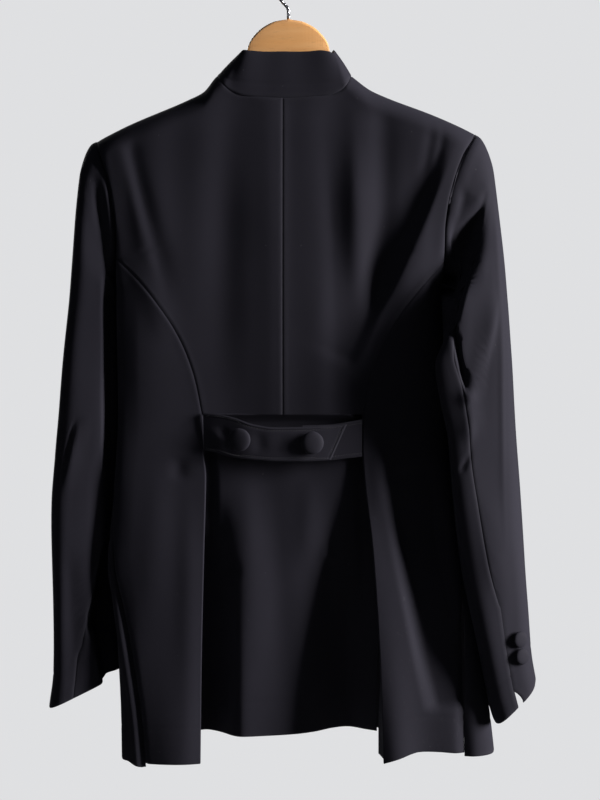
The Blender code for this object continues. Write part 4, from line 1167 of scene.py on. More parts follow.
# Rings down the arm, as the solids have them. lift: how much higher a ring's outer side is.
# x_out, x_in: its outer and inner side. y: its middle. depth: half its size from front to back.
# yaw: its turn. drop: how much lower its back is.
SLEEVE_COLUMNS = "ring z lift x_out x_in y depth yaw drop"
SLEEVE = {
    "left": table(
        SLEEVE_COLUMNS,
        (0, -289.5, 83, 217, 196, 0, 50, 0, 0), (1, -294, 80, 225, 197, -1, 57, 0, 0),
        (2, -308, 69, 233, 196.5, -3, 61, 0, 0), (3, -334, 48, 239, 193, -4, 63, 0, 0),
        (4, -364, 24, 242, 191.8, -5, 64, 2, 0), (5, -398, 3, 245.5, 191.4, -6, 64, 4, 0),
        (6, -450, 0, 251, 190.9, -7, 64, 5, 0), (7, -505, 0, 256, 190.6, -8, 64, 6, 0),
        (8, -560, 0, 261, 192.4, -10, 64, 7, 0), (9, -612, 0, 263.5, 195.2, -12, 64, 7, 0),
        (10, -672, 0, 262.5, 198.6, -14, 64, 7, 0), (11, -730, 0, 262, 194, -16, 65, 7, 2),
        (12, -785, -9, 261, 190.5, -18, 66, 8, 5), (13, -818, -18, 265, 188.5, -18, 66, 8, 5),
    ),
    "right": table(
        SLEEVE_COLUMNS,
        (0, -282, 83, -213, -179.5, 0, 50, 0, 0), (1, -287, 80, -222, -180, -1, 57, 0, 0),
        (2, -302, 69, -231, -180, -2, 61, 0, 0), (3, -329, 49, -238, -177, -2, 64, 0, 0),
        (4, -358, 26, -242, -175.4, 0, 66, 3, 0), (5, -392, 3, -246, -176, 2, 67, 6, 0),
        (6, -447, 0, -250, -178.4, 2, 67, 8, 0), (7, -505, 0, -254, -181.2, 0, 66, 10, 0),
        (8, -560, 0, -257.5, -185.2, -2, 65, 10, 0), (9, -612, 0, -261, -189.8, -4, 64, 10, 0),
        (10, -672, 0, -266, -198, -6, 64, 10, 0), (11, -730, 2, -270, -210.5, -8, 64, 10, 0),
        (12, -788, 11, -274, -224, -10, 64, 10, 3), (13, -832, 22, -280, -233, -10, 64, 10, 4),
    ),
}
# The sleeves as they hang in use, against the solids' simpler tubes. shift: the inner side's way towards the
# torso. back: the whole sleeve's way backwards. tilt: how far the back's outer edge falls away from its inner
# one.
HANG = {
    "left": table(
        "ring shift back tilt",
        (0, 0, 0, 0), (0.5, 0, -2, 0), (1.4, 4, -7, 0), (2.5, 5, -10, -2), (4, 3.5, -12, -7), (6, 3, -13, -8),
        (8, 3, -14, -12), (10, 2.5, -10, -16), (12, 0, -6, -18), (13, 0, -5, -18),
    ),
    "right": table(
        "ring shift back tilt",
        (0, 0, 0, 0), (0.5, 0, -2, 2), (1.4, 4, -9, 8), (2.5, 6, -10, 14), (4, 5, 4, 20), (5.5, 3, 15, 26),
        (9, 4, 16, 25), (11, 7, 13, 20), (12.4, 6, 10, 15), (13, 2, 9, 14),
    ),
}
# How square a ring is, how far the sleeve stands off the armhole's edge, and over how many rings it comes to
# its own form.
SLEEVE_POWER = 4.0
SLEEVE_OFF = 0.7
HEAD_RINGS = 2.2
LAST_RING = 13
# The front seam's place round the sleeve, and half a seam's gap as a turn. Below 0, the halves lie over each
# other.
FRONT_SEAM = math.radians(246)
SEAM_TURN = -0.0012

SLEEVE_FOLDS = {
    "left": table(
        FOLD_COLUMNS,
        # the sleeve head: a long soft hollow beside the armhole, full cloth outside it
        (213, -255, 197, -362, 2, 5, 6, -3.4, 0, 0.3, 0.3),
        (207, -222, 191, -352, 2, 3.5, 4.5, 4.6, 0, 0.2, 0.3),
        (231, -240, 226, -420, 2, 9, 13, 1.4, 0, 0.2, 0),
        # elbow: a sharp slanting crease with full cloth inside it
        (230, -508, 250, -590, -2, 1.8, 2.2, -1.8, 0, 0, 0.3),
        (224, -505, 243, -592, -2, 5, 6, 1.8, 0, 0, 0.3),
        (222, -560, 232, -740, 3, 9, 12, 1.8, 0, 0, 0),
        (242, -640, 238, -800, 3, 8, 10, -1.4, 0, 0, 0.3),
        (228, -650, 216, -830, 2, 9, 12, 1.6, 0, 0, 0.4),
    ),
    "right": table(
        FOLD_COLUMNS,
        # from the sleeve head down to the underarm: a crest, then a deep slanting hollow
        (-219, -262, -180, -318, 3, 6, 8, 3.0, 0, 0.2, 0.4),
        (-190, -262, -200, -300, 0, 5, 6, -2.2, 0, 0.3, 0),
        (-226, -270, -203, -400, 0, 6, 7, 1.6, 0, 0.2, 0),
        # a crest slanting down to the elbow, where the seam starts
        (-228, -370, -197, -496, 5, 7.5, 7.5, 3.4, -0.4, 0.2, 0.8),
        (-197, -496, -196, -550, 2, 7.5, 7, 2.4, -0.4, 0.8, 0),
        (-198, -556, -186, -580, 0, 3, 3, -1.6, 0, 0.3, 0),
        # the pressed line that runs beside the outer edge
        (-229, -250, -237, -660, 0, 3, 3.5, 1.3, 0, 0.2, 0.2),
        (-214, -580, -226, -720, 3, 10, 12, 1.8, 0, 0.2, 0),
        (-240, -640, -250, -800, 3, 8, 10, -1.2, 0, 0, 0),
    ),
}
SLEEVE_EDGES = {
    "left": table(
        EDGE_COLUMNS,
        # the edge that slants down the forearm and back: the cloth inside it lies lower
        (222, -740, 201, -640, 20, 7, 60, 60, 0.6, 0.2),
        (206, -818, 222, -740, 20, 12, 60, 60, 0.4, 0.6),
    ),
    "right": table(
        EDGE_COLUMNS,
        # the outer cloth's edge over the deep hollow behind the arm, then the slit down to the elbow
        (-222, -275, -184, -418, 14, 6, 8, 70, 0.1, 0.75),
        (-183.5, -414, -197.5, -492, 8, 3, 5, 2, 1.0, 0),
    ),
}
# How far each sleeve's inner back edge hangs over the torso, by height, and where round it, in degrees.
SAG_TURN = 128
SAG_SPREAD = 26
SLEEVE_SAG = {
    "left": table("z out", (-380, 0), (-480, 3), (-600, 5), (-700, 2), (-840, 0)),
    "right": table("z out", (-390, 0), (-425, 6), (-462, 20), (-500, 16), (-545, 9), (-660, 4), (-840, 0)),
}
# The back seam's turn round the sleeve, in degrees, by ring.
BACK_SEAM_TURN = {
    "left": table(
        "ring turn",
        (0, 150), (9.1, 150), (9.6, 140), (10.3, 109), (11, 95), (11.5, 90.5), (12.2, 89), (13, 88.5),
    ),
    "right": table(
        "ring turn",
        (0, 150), (3, 147), (4, 134), (5, 121), (6, 109), (6.7, 101), (7.5, 99), (8, 99), (9, 96), (10, 93),
        (11, 90), (13, 90),
    ),
}
# How far each cuff's short vent stands open at the hem, as a turn round the sleeve. It opens from this ring
# down, over this many rings.
VENT_OPEN = {"left": 0.0, "right": math.radians(4)}
VENT_TOP = 12.55
VENT_LENGTH = 0.45
# Height, reach and ring of the extra fullness outside, below the armhole.
FULLNESS = (1.6, 0.8, 1.0)
# The left sleeve's strip beside the torso: how far across it reaches, and how far it falls away.
STRIP_X = 206.0
STRIP_FALL = 13.0


def signed_power(value, power):
    """A power that keeps the value's sign."""
    return np.sign(value) * np.abs(value) ** power


def sleeve_form(side):
    """The sleeve's outer form: angle 0 is its outer side, quarter turn its back; ring 0 is the armhole."""
    rows = SLEEVE[side]
    sign = SIGN[side]

    def surface(angle, ring):
        angle, ring = np.broadcast_arrays(np.asarray(angle, float), np.asarray(ring, float))
        get = {name: run(rows, "ring", name, ring) for name in SLEEVE_COLUMNS.split()[1:]}
        yaw = np.radians(get["yaw"]) * 0.3
        hang = {name: run(HANG[side], "ring", name, ring) for name in ("shift", "back", "tilt")}
        get["x_in"] = get["x_in"] - sign * hang["shift"]
        get["y"] = get["y"] + hang["back"] * (0.25 + 0.75 * ease((np.sin(angle) + 0.7) / 1.2))
        half = (get["x_out"] - get["x_in"]) / 2
        round_x = signed_power(np.cos(angle), 2 / SLEEVE_POWER)
        round_y = signed_power(np.sin(angle), 2 / SLEEVE_POWER)
        x = (get["x_out"] + get["x_in"]) / 2
        x = x + half * np.cos(yaw) * round_x + get["depth"] * np.sin(yaw) * round_y
        y = get["y"] - half * np.sin(yaw) * round_x + get["depth"] * np.cos(yaw) * round_y
        z = get["z"] + get["lift"] * round_x - get["drop"] * round_y
        y = y - hang["tilt"] * (1 + round_x) / 2 * ease((np.sin(angle) + 0.1) / 0.6)
        tube = np.stack([x, y, z], axis=-1)

        hole = ARMHOLE[side]
        top, bottom = hole["top"] - RIDGE_GAP, hole["bottom"] - 1.2
        hole_z = (top + bottom) / 2 + (top - bottom) / 2 * np.cos(angle)
        back = armhole_gap(side, "back", hole_z)
        front_gap = armhole_gap(side, "front", hole_z)
        edge_x = side_x(side, hole_z)
        under_ridge = np.clip((run(RIDGE, "x", "z", edge_x) - hole_z) / SHOULDER_ROUND, 0, 1)
        rounded = np.sqrt(1 - (1 - under_ridge) ** 2)
        hole_y = np.where(np.sin(angle) > 0, back, -front_gap) * rounded
        loop = np.stack([edge_x + sign * SLEEVE_OFF, hole_y, hole_z], axis=-1)
        blend = ease(ring / HEAD_RINGS)[..., None]
        return loop * (1 - blend) + tube * blend

    return surface


def sleeve_points(side, angle, ring):
    """The sleeve's form with its folds: on the back as seen, on the front the same ones, softer."""
    surface = sleeve_form(side)
    points = surface(angle, ring)
    normal = normals_of(surface, angle, np.clip(ring, 0.05, LAST_RING - 0.05), 2e-3, 0.04)
    whole = surface(np.linspace(0, 2 * math.pi, 48, endpoint=False)[None, :], ring[:, :1])
    centre = whole.mean(axis=1, keepdims=True)
    normal = normal * np.where(np.sum(normal * (points - centre), axis=-1, keepdims=True) < 0, -1.0, 1.0)
    z = points[..., 2]
    off_hole = ease(ring / 1.4)
    turn = np.degrees(angle) % 360
    hang = bump(turn, 1.0, SAG_SPREAD, SAG_TURN) * off_hole
    points[..., 0] -= SIGN[side] * run(SLEEVE_SAG[side], "z", "out", z) * hang
    x = points[..., 0]
    back_face = ease((np.sin(angle) + 0.1) / 0.5)
    front_face = ease((-np.sin(angle) - 0.1) / 0.5)
    outline = 1 - 0.75 * ease((np.cos(angle) - 0.55) / 0.4)
    lift = folds(SLEEVE_FOLDS[side], x, z) * (back_face + 0.5 * front_face) * outline
    lift = lift - drops_behind(SLEEVE_EDGES[side], x, z) * back_face
    lift = lift + unevenness(x + 0.8 * points[..., 1], z, 0.6, 41 if side == "left" else 43)
    full = bump(ring, *FULLNESS) * np.clip(np.cos(angle), 0, 1)
    inner_side = ease((-np.cos(angle) - 0.4) / 0.4) * (1 - ease((np.sin(angle) - 0.1) / 0.3))
    lift = (lift * off_hole + full) * (1 - 0.9 * inner_side)
    points = points + normal * lift[..., None]
    if side == "left":
        # below the armhole the strip beside the torso falls away from the back
        inside = ease((STRIP_X - x) / 8) * ease((np.sin(angle) + 0.1) / 0.3)
        points[..., 1] -= STRIP_FALL * inside * ease((-355 - z) / 45) * ease((12 - ring) / 3)
    return points, normal


def sleeve_rings():
    """Where a sleeve's grid has its rows: close together at the armhole and at the hem."""
    head = np.array([0, 0.02, 0.05, 0.09, 0.15, 0.25, 0.4, 0.55, 0.7, 0.85, 1.0])
    arm = np.linspace(1.0, 12.9, 235)
    cuff = np.array([12.9, 12.94, 12.97, 12.985, LAST_RING])
    return join(head, arm, cuff)


def sleeve_half(node, side, material, first, last, count):
    """One half of a two-piece sleeve between its two seams, given by ring."""
    rings = sleeve_rings()
    near = np.array([0, 0.004, 0.009, 0.016, 0.026, 0.04])
    part = np.concatenate([near[:-1], np.linspace(near[-1], 1 - near[-1], count), 1 - near[:-1][::-1]])
    angle = line(first(rings)[:, None], last(rings)[:, None], part[None, :])
    ring = np.broadcast_to(rings[:, None], angle.shape)
    points, normal = sleeve_points(side, angle, ring)
    points = press(points, grid_normals(points, normal), "first last top", "bottom", seed=13)
    sew(node, points, normal, material, "first last top bottom")


def back_seam_angle(side, ring):
    """The back seam's place round the sleeve."""
    return np.radians(run(BACK_SEAM_TURN[side], "ring", "turn", ring))


def sleeve(side, material):
    """Two-piece sleeve: the top half from the front seam round the outside, the under half inside."""

    def front_first(ring):
        return np.full_like(ring, FRONT_SEAM - 2 * math.pi + SEAM_TURN)

    def back_above(ring):
        opened = VENT_OPEN[side] * ease((ring - VENT_TOP) / VENT_LENGTH)
        return back_seam_angle(side, ring) - SEAM_TURN - opened

    def back_below(ring):
        return back_seam_angle(side, ring) + SEAM_TURN

    def front_last(ring):
        return np.full_like(ring, FRONT_SEAM - SEAM_TURN)

    sleeve_half(f"sleeve_top_{side}", side, material, front_first, back_above, 92)
    sleeve_half(f"sleeve_under_{side}", side, material, back_below, front_last, 54)


# ------------------------------------------------------------------ collar

COLLAR_END_Z = -235.0
# By share of the neck seam from the centre back: how far the collar rises, and how far it leans inwards on
# each side.
COLLAR = table(
    "share rise left right",
    (0.0, 54, 8, 8), (0.15, 52.2, 9, 9), (0.22, 51.6, 9, 9), (0.3, 45, 18.5, 11), (0.35, 39.5, 25, 15),
    (0.4, 35, 29.5, 19), (0.45, 32, 31, 21), (0.5, 31.5, 30.5, 21.5), (0.55, 26, 25, 19), (0.6, 21, 18, 15),
    (0.75, 15, 11, 11), (0.9, 9, 8, 8), (1.0, 2.5, 3, 3),
)
# How far the collar's foot starts off the neck seam along its rise. Below 0, it lies over it.
COLLAR_OFF = -0.25
COLLAR_COLUMNS = 80
COLLAR_BULGE = 0.9


def neckline(side, share):
    """Places on the neck seam: 0 at the centre back, half at the neck point, 1 where the collar ends."""
    on_back = np.clip(share * 2, 0, 1)
    x = BACK_CENTRE + (NECK_POINT[side] - BACK_CENTRE) * np.sin(on_back * math.pi / 2)
    z_back = run(NECK_BACK, "x", "z", x)
    behind = form(back_angle(x, z_back), z_back)
    on_front = np.clip(share * 2 - 1, 0, 1)
    z_front = NECK_POINT_Z + (COLLAR_END_Z - NECK_POINT_Z) * on_front ** 1.3
    edge_x = FRONT_CENTRE + SIGN[side] * run(FRONT_EDGE, "z", "out", z_front)
    before = form(front_angle(edge_x, z_front, side), z_front)
    return np.where((share <= 0.5)[..., None], behind, before)


def collar(material):
    """Stand collar: round the back of the neck and down both front edges, tapering out."""
    share = np.linspace(0, 1, COLLAR_COLUMNS + 1)
    left = neckline("left", share)
    right = neckline("right", share[1:])[::-1]
    foot = np.concatenate([right, left])
    whole = np.concatenate([share[1:][::-1], share])
    rise = softened(run(COLLAR, "share", "rise", whole), 2)
    to_left = foot[:, 0] > BACK_CENTRE
    lean = np.where(to_left, run(COLLAR, "share", "left", whole), run(COLLAR, "share", "right", whole))
    lean = softened(lean, 6)
    away = np.zeros_like(foot)
    away[:, 0] = BACK_CENTRE - foot[:, 0]
    away[:, 1] = np.where(foot[:, 1] > -18, -10 - foot[:, 1], 8)
    away = unit(away)
    step = away * lean[:, None] + np.array([0.0, 0.0, 1.0]) * rise[:, None]
    foot = foot + unit(step) * COLLAR_OFF
    parts = shares(20, 52)[:, None, None]
    points = (foot + step * parts)[::-1]
    normal = grid_normals(points)
    normal = normal * np.where(normal[2, COLLAR_COLUMNS, 1] < 0, -1.0, 1.0)
    bulge = COLLAR_BULGE * np.sin(parts[::-1, :, 0] * math.pi)
    lift = bulge + unevenness(points[..., 0] * 1.4, points[..., 2], 0.25, 51)
    points = points + normal * lift[..., None]
    points = press(points, grid_normals(points, normal), "bottom", pucker=0.07, seed=15)
    points = press(points, grid_normals(points, normal), "", "top", seed=16)
    sew("collar", points, normal, material, "bottom top", wall=STIFF)


# ------------------------------------------------------------------ half belt

# Topstitching: how far in from the edge it runs, a stitch's length, its pitch, and the thread's thickness.
STITCH_IN = 3.6
STITCH_LONG = 2.3
STITCH_PITCH = 3.1
THREAD = 0.34
# Height, reach and distance from the edge: of the groove that the stitches draw in, and of the swell outside
# it.
STITCH_CHANNEL = (-0.45, 0.9, STITCH_IN)
EDGE_SWELL = (0.25, 1.2, 1.9)
# The straps: how far each lies off the back, and its two edges.
BELT_OVER = table(
    "x off top bottom",
    (95, 0.5, -512, -553), (77, 4, -513.5, -556), (60, 7, -517, -561), (38, 9.5, -524.5, -563.5),
    (14, 10, -528, -565), (-20, 9, -527.5, -565), (-47, 6.5, -526, -564), (-66, 5, -524, -563),
)
BELT_UNDER = table(
    "x off top bottom",
    (-16, 5.2, -526, -564), (-47, 3.0, -525, -564), (-66, 1.8, -522, -562), (-83, 0.5, -519, -560.5),
)
# Places across at which the straps end. The over one's end slants from its upper corner to its lower one.
BELT_END = {"left": 92.6, "over_top": -65.0, "over_bottom": -47.0, "under": -16.0, "right": -81.6}
BELT_FOLDS = table(
    FOLD_COLUMNS,
    (84, -532, 66, -548, 0, 5, 7, 1.0, 0, 0.5, 0),
    (74, -524, 66, -552, 0, 5, 6, -1.1, 0, 0, 0.4),
    (34, -530, 28, -560, 0, 7, 8, -0.8, 0, 0, 0),
    (-4, -530, -2, -562, 0, 8, 9, 0.6, 0, 0, 0),
)


def belt_point(rows, x, z):
    """A place on a strap's outer face."""
    y = back_y(x, WAIST + 1) + run(rows, "x", "off", x) + STIFF
    return np.stack(np.broadcast_arrays(x, y, z), axis=-1)


def strap(node, rows, first, last_top, last_bottom, material, edges):
    """A strap from its first end to its last, which may slant, with a channel along its stitched edges."""
    across = shares(110, 150)[None, :]
    down = shares(30, 40)[:, None]
    x = line(first, line(last_top, last_bottom, down), across)
    z = line(run(rows, "x", "top", x), run(rows, "x", "bottom", x), down)
    points = belt_point(rows, x, z)
    normal = grid_normals(points, np.array([0.0, 1.0, 0.0]))
    d = edge_distance(points, edges)
    channel = bump(d, *STITCH_CHANNEL) + bump(d, *EDGE_SWELL)
    off = channel + folds(BELT_FOLDS, x, z) + unevenness(x * 1.5, z, 0.2, 61)
    points = points + normal * off[..., None]
    points = press(points, normal, "", edges, seed=17)
    piece = cloth(f"{node}_cloth", points, normal, wall=STIFF, seams=edges)
    dress(piece, material, "suiting", node)
    return piece, points, normal


def stitches(name, paths, material):
    """Topstitching: short rounded threads along each path, sunk a little into the cloth."""
    bm = bmesh.new()
    for path, facing in paths:
        travelled = np.concatenate([[0], np.cumsum(np.linalg.norm(np.diff(path, axis=0), axis=1))])
        count = int(travelled[-1] // STITCH_PITCH)
        for k in range(count):
            here = (k + 0.5) * STITCH_PITCH
            place = [np.interp(here, travelled, path[:, i]) for i in range(3)]
            ahead = [np.interp(here + 0.5, travelled, path[:, i]) for i in range(3)]
            out = [np.interp(here, travelled, facing[:, i]) for i in range(3)]
            along = Vector(ahead) - Vector(place)
            made = bmesh.ops.create_icosphere(bm, subdivisions=1, radius=0.5)
            turn = along.to_track_quat("X", "Z").to_matrix()
            centre = Vector(place) + Vector(out) * (THREAD * 0.25)
            for vert in made["verts"]:
                size = Vector((vert.co.x * STITCH_LONG, vert.co.y * THREAD * 2, vert.co.z * THREAD * 2))
                vert.co = (turn @ size + centre) * MM
    return dress(piece_of(bm, name), material, "suiting")


def stitch_path(points, normal, edge, trim):
    """The line of points a stitch's distance inside one edge of a grid, without a few points at each end."""
    off = np.abs(edge_distance(points, edge) - STITCH_IN)
    if edge in ("first", "last"):
        picked = np.argmin(off, axis=1)
        index = (np.arange(len(picked)), picked)
    else:
        picked = np.argmin(off, axis=0)
        index = (picked, np.arange(len(picked)))
    return points[index][trim:-trim], normal[index][trim:-trim]


def belts(material, thread):
    """Both straps of the half belt with their stitching."""
    over, points, normal = strap(
        "belt_over", BELT_OVER, BELT_END["left"], BELT_END["over_top"], BELT_END["over_bottom"],
        material, "top bottom last",
    )
    trims = {"top": 3, "bottom": 3, "last": 6}
    lines = [stitch_path(points, normal, edge, trim) for edge, trim in trims.items()]
    sewn = stitches("belt_over_stitching", lines, thread)
    under, points, normal = strap(
        "belt_under", BELT_UNDER, BELT_END["under"], BELT_END["right"], BELT_END["right"],
        material, "top bottom",
    )
    lines = [stitch_path(points, normal, edge, 2) for edge in ("top", "bottom")]
    sewn_under = stitches("belt_under_stitching", lines, thread)
    return over, under, sewn, sewn_under


# ------------------------------------------------------------------ covered buttons

# Radii of the buttons, and how far they are off the cloth: on the belt and the cuff, and on the front.
BIG_BUTTON = 12.5
SMALL_BUTTON = 9.0
SEAT = 0.3
FRONT_SEAT = 0.8
# Half the breadth of a large button's shank where it sits on the belt.
SHANK = 4.0
BELT_BUTTONS = table("x z", (52.8, -541.5), (-26.4, -545.0))
# The front's buttons: their heights, and how far in from the front edge they are.
FRONT_BUTTONS = (-345.0, -425.0, -505.0, -585.0)
FRONT_BUTTON_IN = 18.0
# The cuff's buttons: their rings, and their place round the sleeve.
CUFF_RINGS = (11.54, 11.88)
CUFF_ANGLE = math.radians(75)
# A button's outline from its shank to its crown, in shares of its radius.
CROWN = 0.54
RIM = 0.25
BUTTON = table(
    "radius height",
    (0.30, 0.0), (0.30, 0.13), (0.70, 0.13), (0.90, 0.15), (0.975, 0.19), (1.0, 0.25), (0.985, 0.31),
    (0.94, 0.37), (0.86, 0.425), (0.72, 0.475), (0.5, 0.515), (0.25, 0.535),
)


def button(node, place, facing, radius, material, seed):
    """A covered button: a domed top with the cloth drawn round its rim, on a short shank."""
    bm = bmesh.new()
    ring = [bm.verts.new((r * radius, 0, h * radius)) for r, h in zip(BUTTON["radius"], BUTTON["height"])]
    foot = bm.verts.new((0, 0, 0))
    crown = bm.verts.new((0, 0, CROWN * radius))
    chain = [foot, *ring, crown]
    profile = [bm.edges.new(pair) for pair in zip(chain, chain[1:])]
    bmesh.ops.spin(
        bm, geom=[*chain, *profile], cent=(0, 0, 0), axis=(0, 0, 1), angle=2 * math.pi, steps=72,
        use_merge=True,
    )
    bmesh.ops.remove_doubles(bm, verts=bm.verts, dist=1e-4)
    phase = np.random.default_rng(seed).uniform(0, 6)
    for vert in bm.verts:
        reach = math.hypot(vert.co.x, vert.co.y) / radius
        if reach > 0.6:
            around = math.atan2(vert.co.y, vert.co.x)
            tuck = 0.012 * math.sin(around * 17 + phase) * (1 if vert.co.z < RIM * radius else 0.25)
            vert.co.x *= 1 + tuck
            vert.co.y *= 1 + tuck
    bmesh.ops.recalc_face_normals(bm, faces=bm.faces)
    turn = Vector((0, 0, 1)).rotation_difference(Vector(facing)).to_matrix()
    uv = bm.loops.layers.uv.new("cut")
    for face in bm.faces:
        for loop in face.loops:
            loop[uv].uv = (loop.vert.co.x * MM, loop.vert.co.y * MM)
    for vert in bm.verts:
        vert.co = (turn @ vert.co + Vector(place)) * MM
    piece = piece_of(bm, f"{node}_cloth")
    note_seams(piece.data, np.full(len(piece.data.vertices), FAR))
    return dress(piece, material, "button_cloth", node)


def belt_buttons(material):
    """The two large buttons on the over strap, square to its slope."""
    made = []
    for i, (x, z) in enumerate(zip(*BELT_BUTTONS.values())):
        around = belt_point(BELT_OVER, x + np.array([-SHANK, SHANK]), z)
        slope = (around[1, 1] - around[0, 1]) / (2 * SHANK)
        facing = Vector((-slope, 1, 0)).normalized()
        seat = max(belt_point(BELT_OVER, x + dx, z)[1] - slope * dx for dx in (-SHANK, 0.0, SHANK))
        place = Vector((x, seat, z)) + facing * SEAT
        made.append(button(f"belt_button_{i + 1}", place, facing, BIG_BUTTON, material, i))
    return made


def front_buttons(material):
    """Four large buttons down the right front's edge."""
    for i, z in enumerate(FRONT_BUTTONS):
        x = FRONT_CENTRE - run(FRONT_EDGE, "z", "out", z) - FRONT_BUTTON_IN
        angle = front_angle(x, z, "right")
        point = form(angle, z)
        normal = outward(normals_of(form, angle, np.asarray(z)), point)
        button(f"front_button_{i + 1}", point + normal * FRONT_SEAT, normal, BIG_BUTTON, material, 4 + i)


def cuff_buttons(material):
    """Two small buttons beside the right cuff's vent."""
    surface = sleeve_form("right")
    for i, ring in enumerate(CUFF_RINGS):
        angle, at = np.asarray(CUFF_ANGLE), np.asarray(ring)
        point = surface(angle, at)
        normal = normals_of(surface, angle, at, 2e-3, 0.04)
        middle = (surface(0.0, ring) + surface(math.pi, ring)) / 2
        normal = normal * (1 if np.dot(normal, point - middle) > 0 else -1)
        button(f"cuff_button_right_{i + 1}", point + normal * SEAT, normal, SMALL_BUTTON, material, 8 + i)


# ------------------------------------------------------------------ hanger and hook

# The arms' ends, how far they lie under the shoulders, and how far out they start.
HANGER_ENDS = {"left": 206.0, "right": -201.0}
HANGER_UNDER = 5.0
NECK_REACH = 80.0
# The wood's upper edge, height and half thickness, by how far out from the hook.
HANGER = table(
    "out top height half",
    (0, -66, 66, 7), (15, -68.4, 65, 7), (28, -74.6, 62, 7), (38, -83.5, 56, 7), (45, -94.2, 49, 7),
    (47.5, -106, 45, 7), (50, -124, 40, 7), (56, -131, 38, 7), (64, -138, 36, 7.5), (74, -144, 34, 8),
    (86, -148, 32, 8.5), (206, -203, 17, 11),
)
# Where each half has its cross sections: close together where the head turns down into the arm.
HANGER_OUT = [
    *range(0, 29, 4), 31, 34, 37, 39.5, 42, 44, 45.5, 46.5, 47.3, 48, 50, 53, 57, 62, 68, 76,
    *range(86, 123, 9), *range(136, 179, 14), 190, 197, 200, 202.5, 204.5, 206,
]
# How much smaller the last cross sections are, which rounds the arms' tips.
HANGER_TIPS = {200: 0.985, 202.5: 0.93, 204.5: 0.82, 206: 0.62}
# A cross section's corners: their radius as a share of half its smaller side, and the points on each.
CORNER = 0.62
CORNER_POINTS = 7


def drawn_through(rings):
    """A closed bar drawn through rings of points, and the face at its last end."""
    bm = bmesh.new()
    bmesh.ops.create_circle(bm, cap_ends=True, segments=len(rings[0]), radius=1.0)
    face = next(iter(bm.faces))
    old = 0
    for ring in rings:
        if ring is not rings[0]:
            old = len(bm.verts)
            grown = bmesh.ops.extrude_face_region(bm, geom=[face])
            face = next(item for item in grown["geom"] if isinstance(item, bmesh.types.BMFace))
        for vert, place in zip(list(bm.verts)[old:], ring):
            vert.co = Vector(place) * MM
    return bm, face


def rounded_section(x, top, low, half):
    """Points round a cross section of the hanger with rounded corners."""
    corner = min(half, (top - low) / 2) * CORNER
    ring = []
    for to_back, up, start in ((1, 1, 0), (-1, 1, 90), (-1, -1, 180), (1, -1, 270)):
        for k in range(CORNER_POINTS):
            turn = math.radians(start + 90 * k / (CORNER_POINTS - 1))
            y = to_back * (half - corner) + corner * math.cos(turn)
            z = (top - corner if up > 0 else low + corner) + corner * math.sin(turn)
            ring.append((x, y, z))
    return ring


def hanger(material):
    """Wooden hanger: a round head and two arms that follow the shoulders from inside."""
    rings = []
    for out in [-d for d in reversed(HANGER_OUT)] + HANGER_OUT[1:]:
        reach = abs(out)
        side = "left" if out >= 0 else "right"
        arm = reach > NECK_REACH
        x = out / HANGER_OUT[-1] * abs(HANGER_ENDS[side]) if arm else out
        top = run(RIDGE, "x", "z", x) - HANGER_UNDER if arm else run(HANGER, "out", "top", reach)
        low = top - run(HANGER, "out", "height", reach)
        middle = (top + low) / 2
        shrink = HANGER_TIPS.get(reach, 1.0)
        half = run(HANGER, "out", "half", reach) * shrink
        rings.append(rounded_section(x, line(middle, top, shrink), line(middle, low, shrink), half))
    bm, _ = drawn_through(rings)
    bmesh.ops.recalc_face_normals(bm, faces=bm.faces)
    piece = piece_of(bm, "hanger_wood")
    piece.data.set_sharp_from_angle(angle=math.radians(35))
    return dress(piece, material, "wood", "hanger")


# The hook: its wire's thickness, its bend's radius at the wire's middle, the straight part of its stem, the
# height of the wood's top below the origin, and how far the stem stands above it.
WIRE = 3.8
HOOK_RADIUS = 22.0
STEM = 10.0
HEAD_TOP = -66.0
STEM_OFF = 0.3
WIRE_SIDES = 20
# The bend's two ends, as angles from the side, and how much the wire's tip is rounded.
BEND = (math.radians(-62), math.radians(200))
TIP_ROUND = 1.2


def hook(material):
    """Steel wire: a stem out of the wood, then an open round hook whose inner top is the origin."""
    centre_z = WIRE / 2 - HOOK_RADIUS
    arc = [
        (HOOK_RADIUS * math.cos(a), centre_z + HOOK_RADIUS * math.sin(a))
        for a in np.linspace(*BEND, 64)
    ]
    first_x, first_z = arc[0]
    stem_low = HEAD_TOP + STEM_OFF
    stem = [(0.0, stem_low), (0.0, stem_low + STEM / 2), (0.0, stem_low + STEM)]
    for part in np.linspace(0, 1, 14)[1:-1]:
        stem.append((first_x * float(ease(part)), line(stem_low + STEM, first_z, part)))
    path = stem + arc
    to_back = Vector((0, 1, 0))
    rings = []
    for i, (x, z) in enumerate(path):
        before, after = path[max(i - 1, 0)], path[min(i + 1, len(path) - 1)]
        way = Vector((after[0] - before[0], 0, after[1] - before[1])).normalized()
        across = Vector((way.z, 0, -way.x))
        turns = np.linspace(0, 2 * math.pi, WIRE_SIDES, endpoint=False)
        rings.append([
            Vector((x, 0, z)) + across * (WIRE / 2 * math.cos(a)) + to_back * (WIRE / 2 * math.sin(a))
            for a in turns
        ])
    bm, tip = drawn_through(rings)
    bmesh.ops.bevel(
        bm, geom=list(tip.edges), offset=TIP_ROUND * MM, affect="EDGES", segments=4, profile=0.5, material=-1,
    )
    bmesh.ops.recalc_face_normals(bm, faces=bm.faces)
    return dress(piece_of(bm, "hook_wire"), material, "steel", "hook")


# ------------------------------------------------------------------ studio and camera

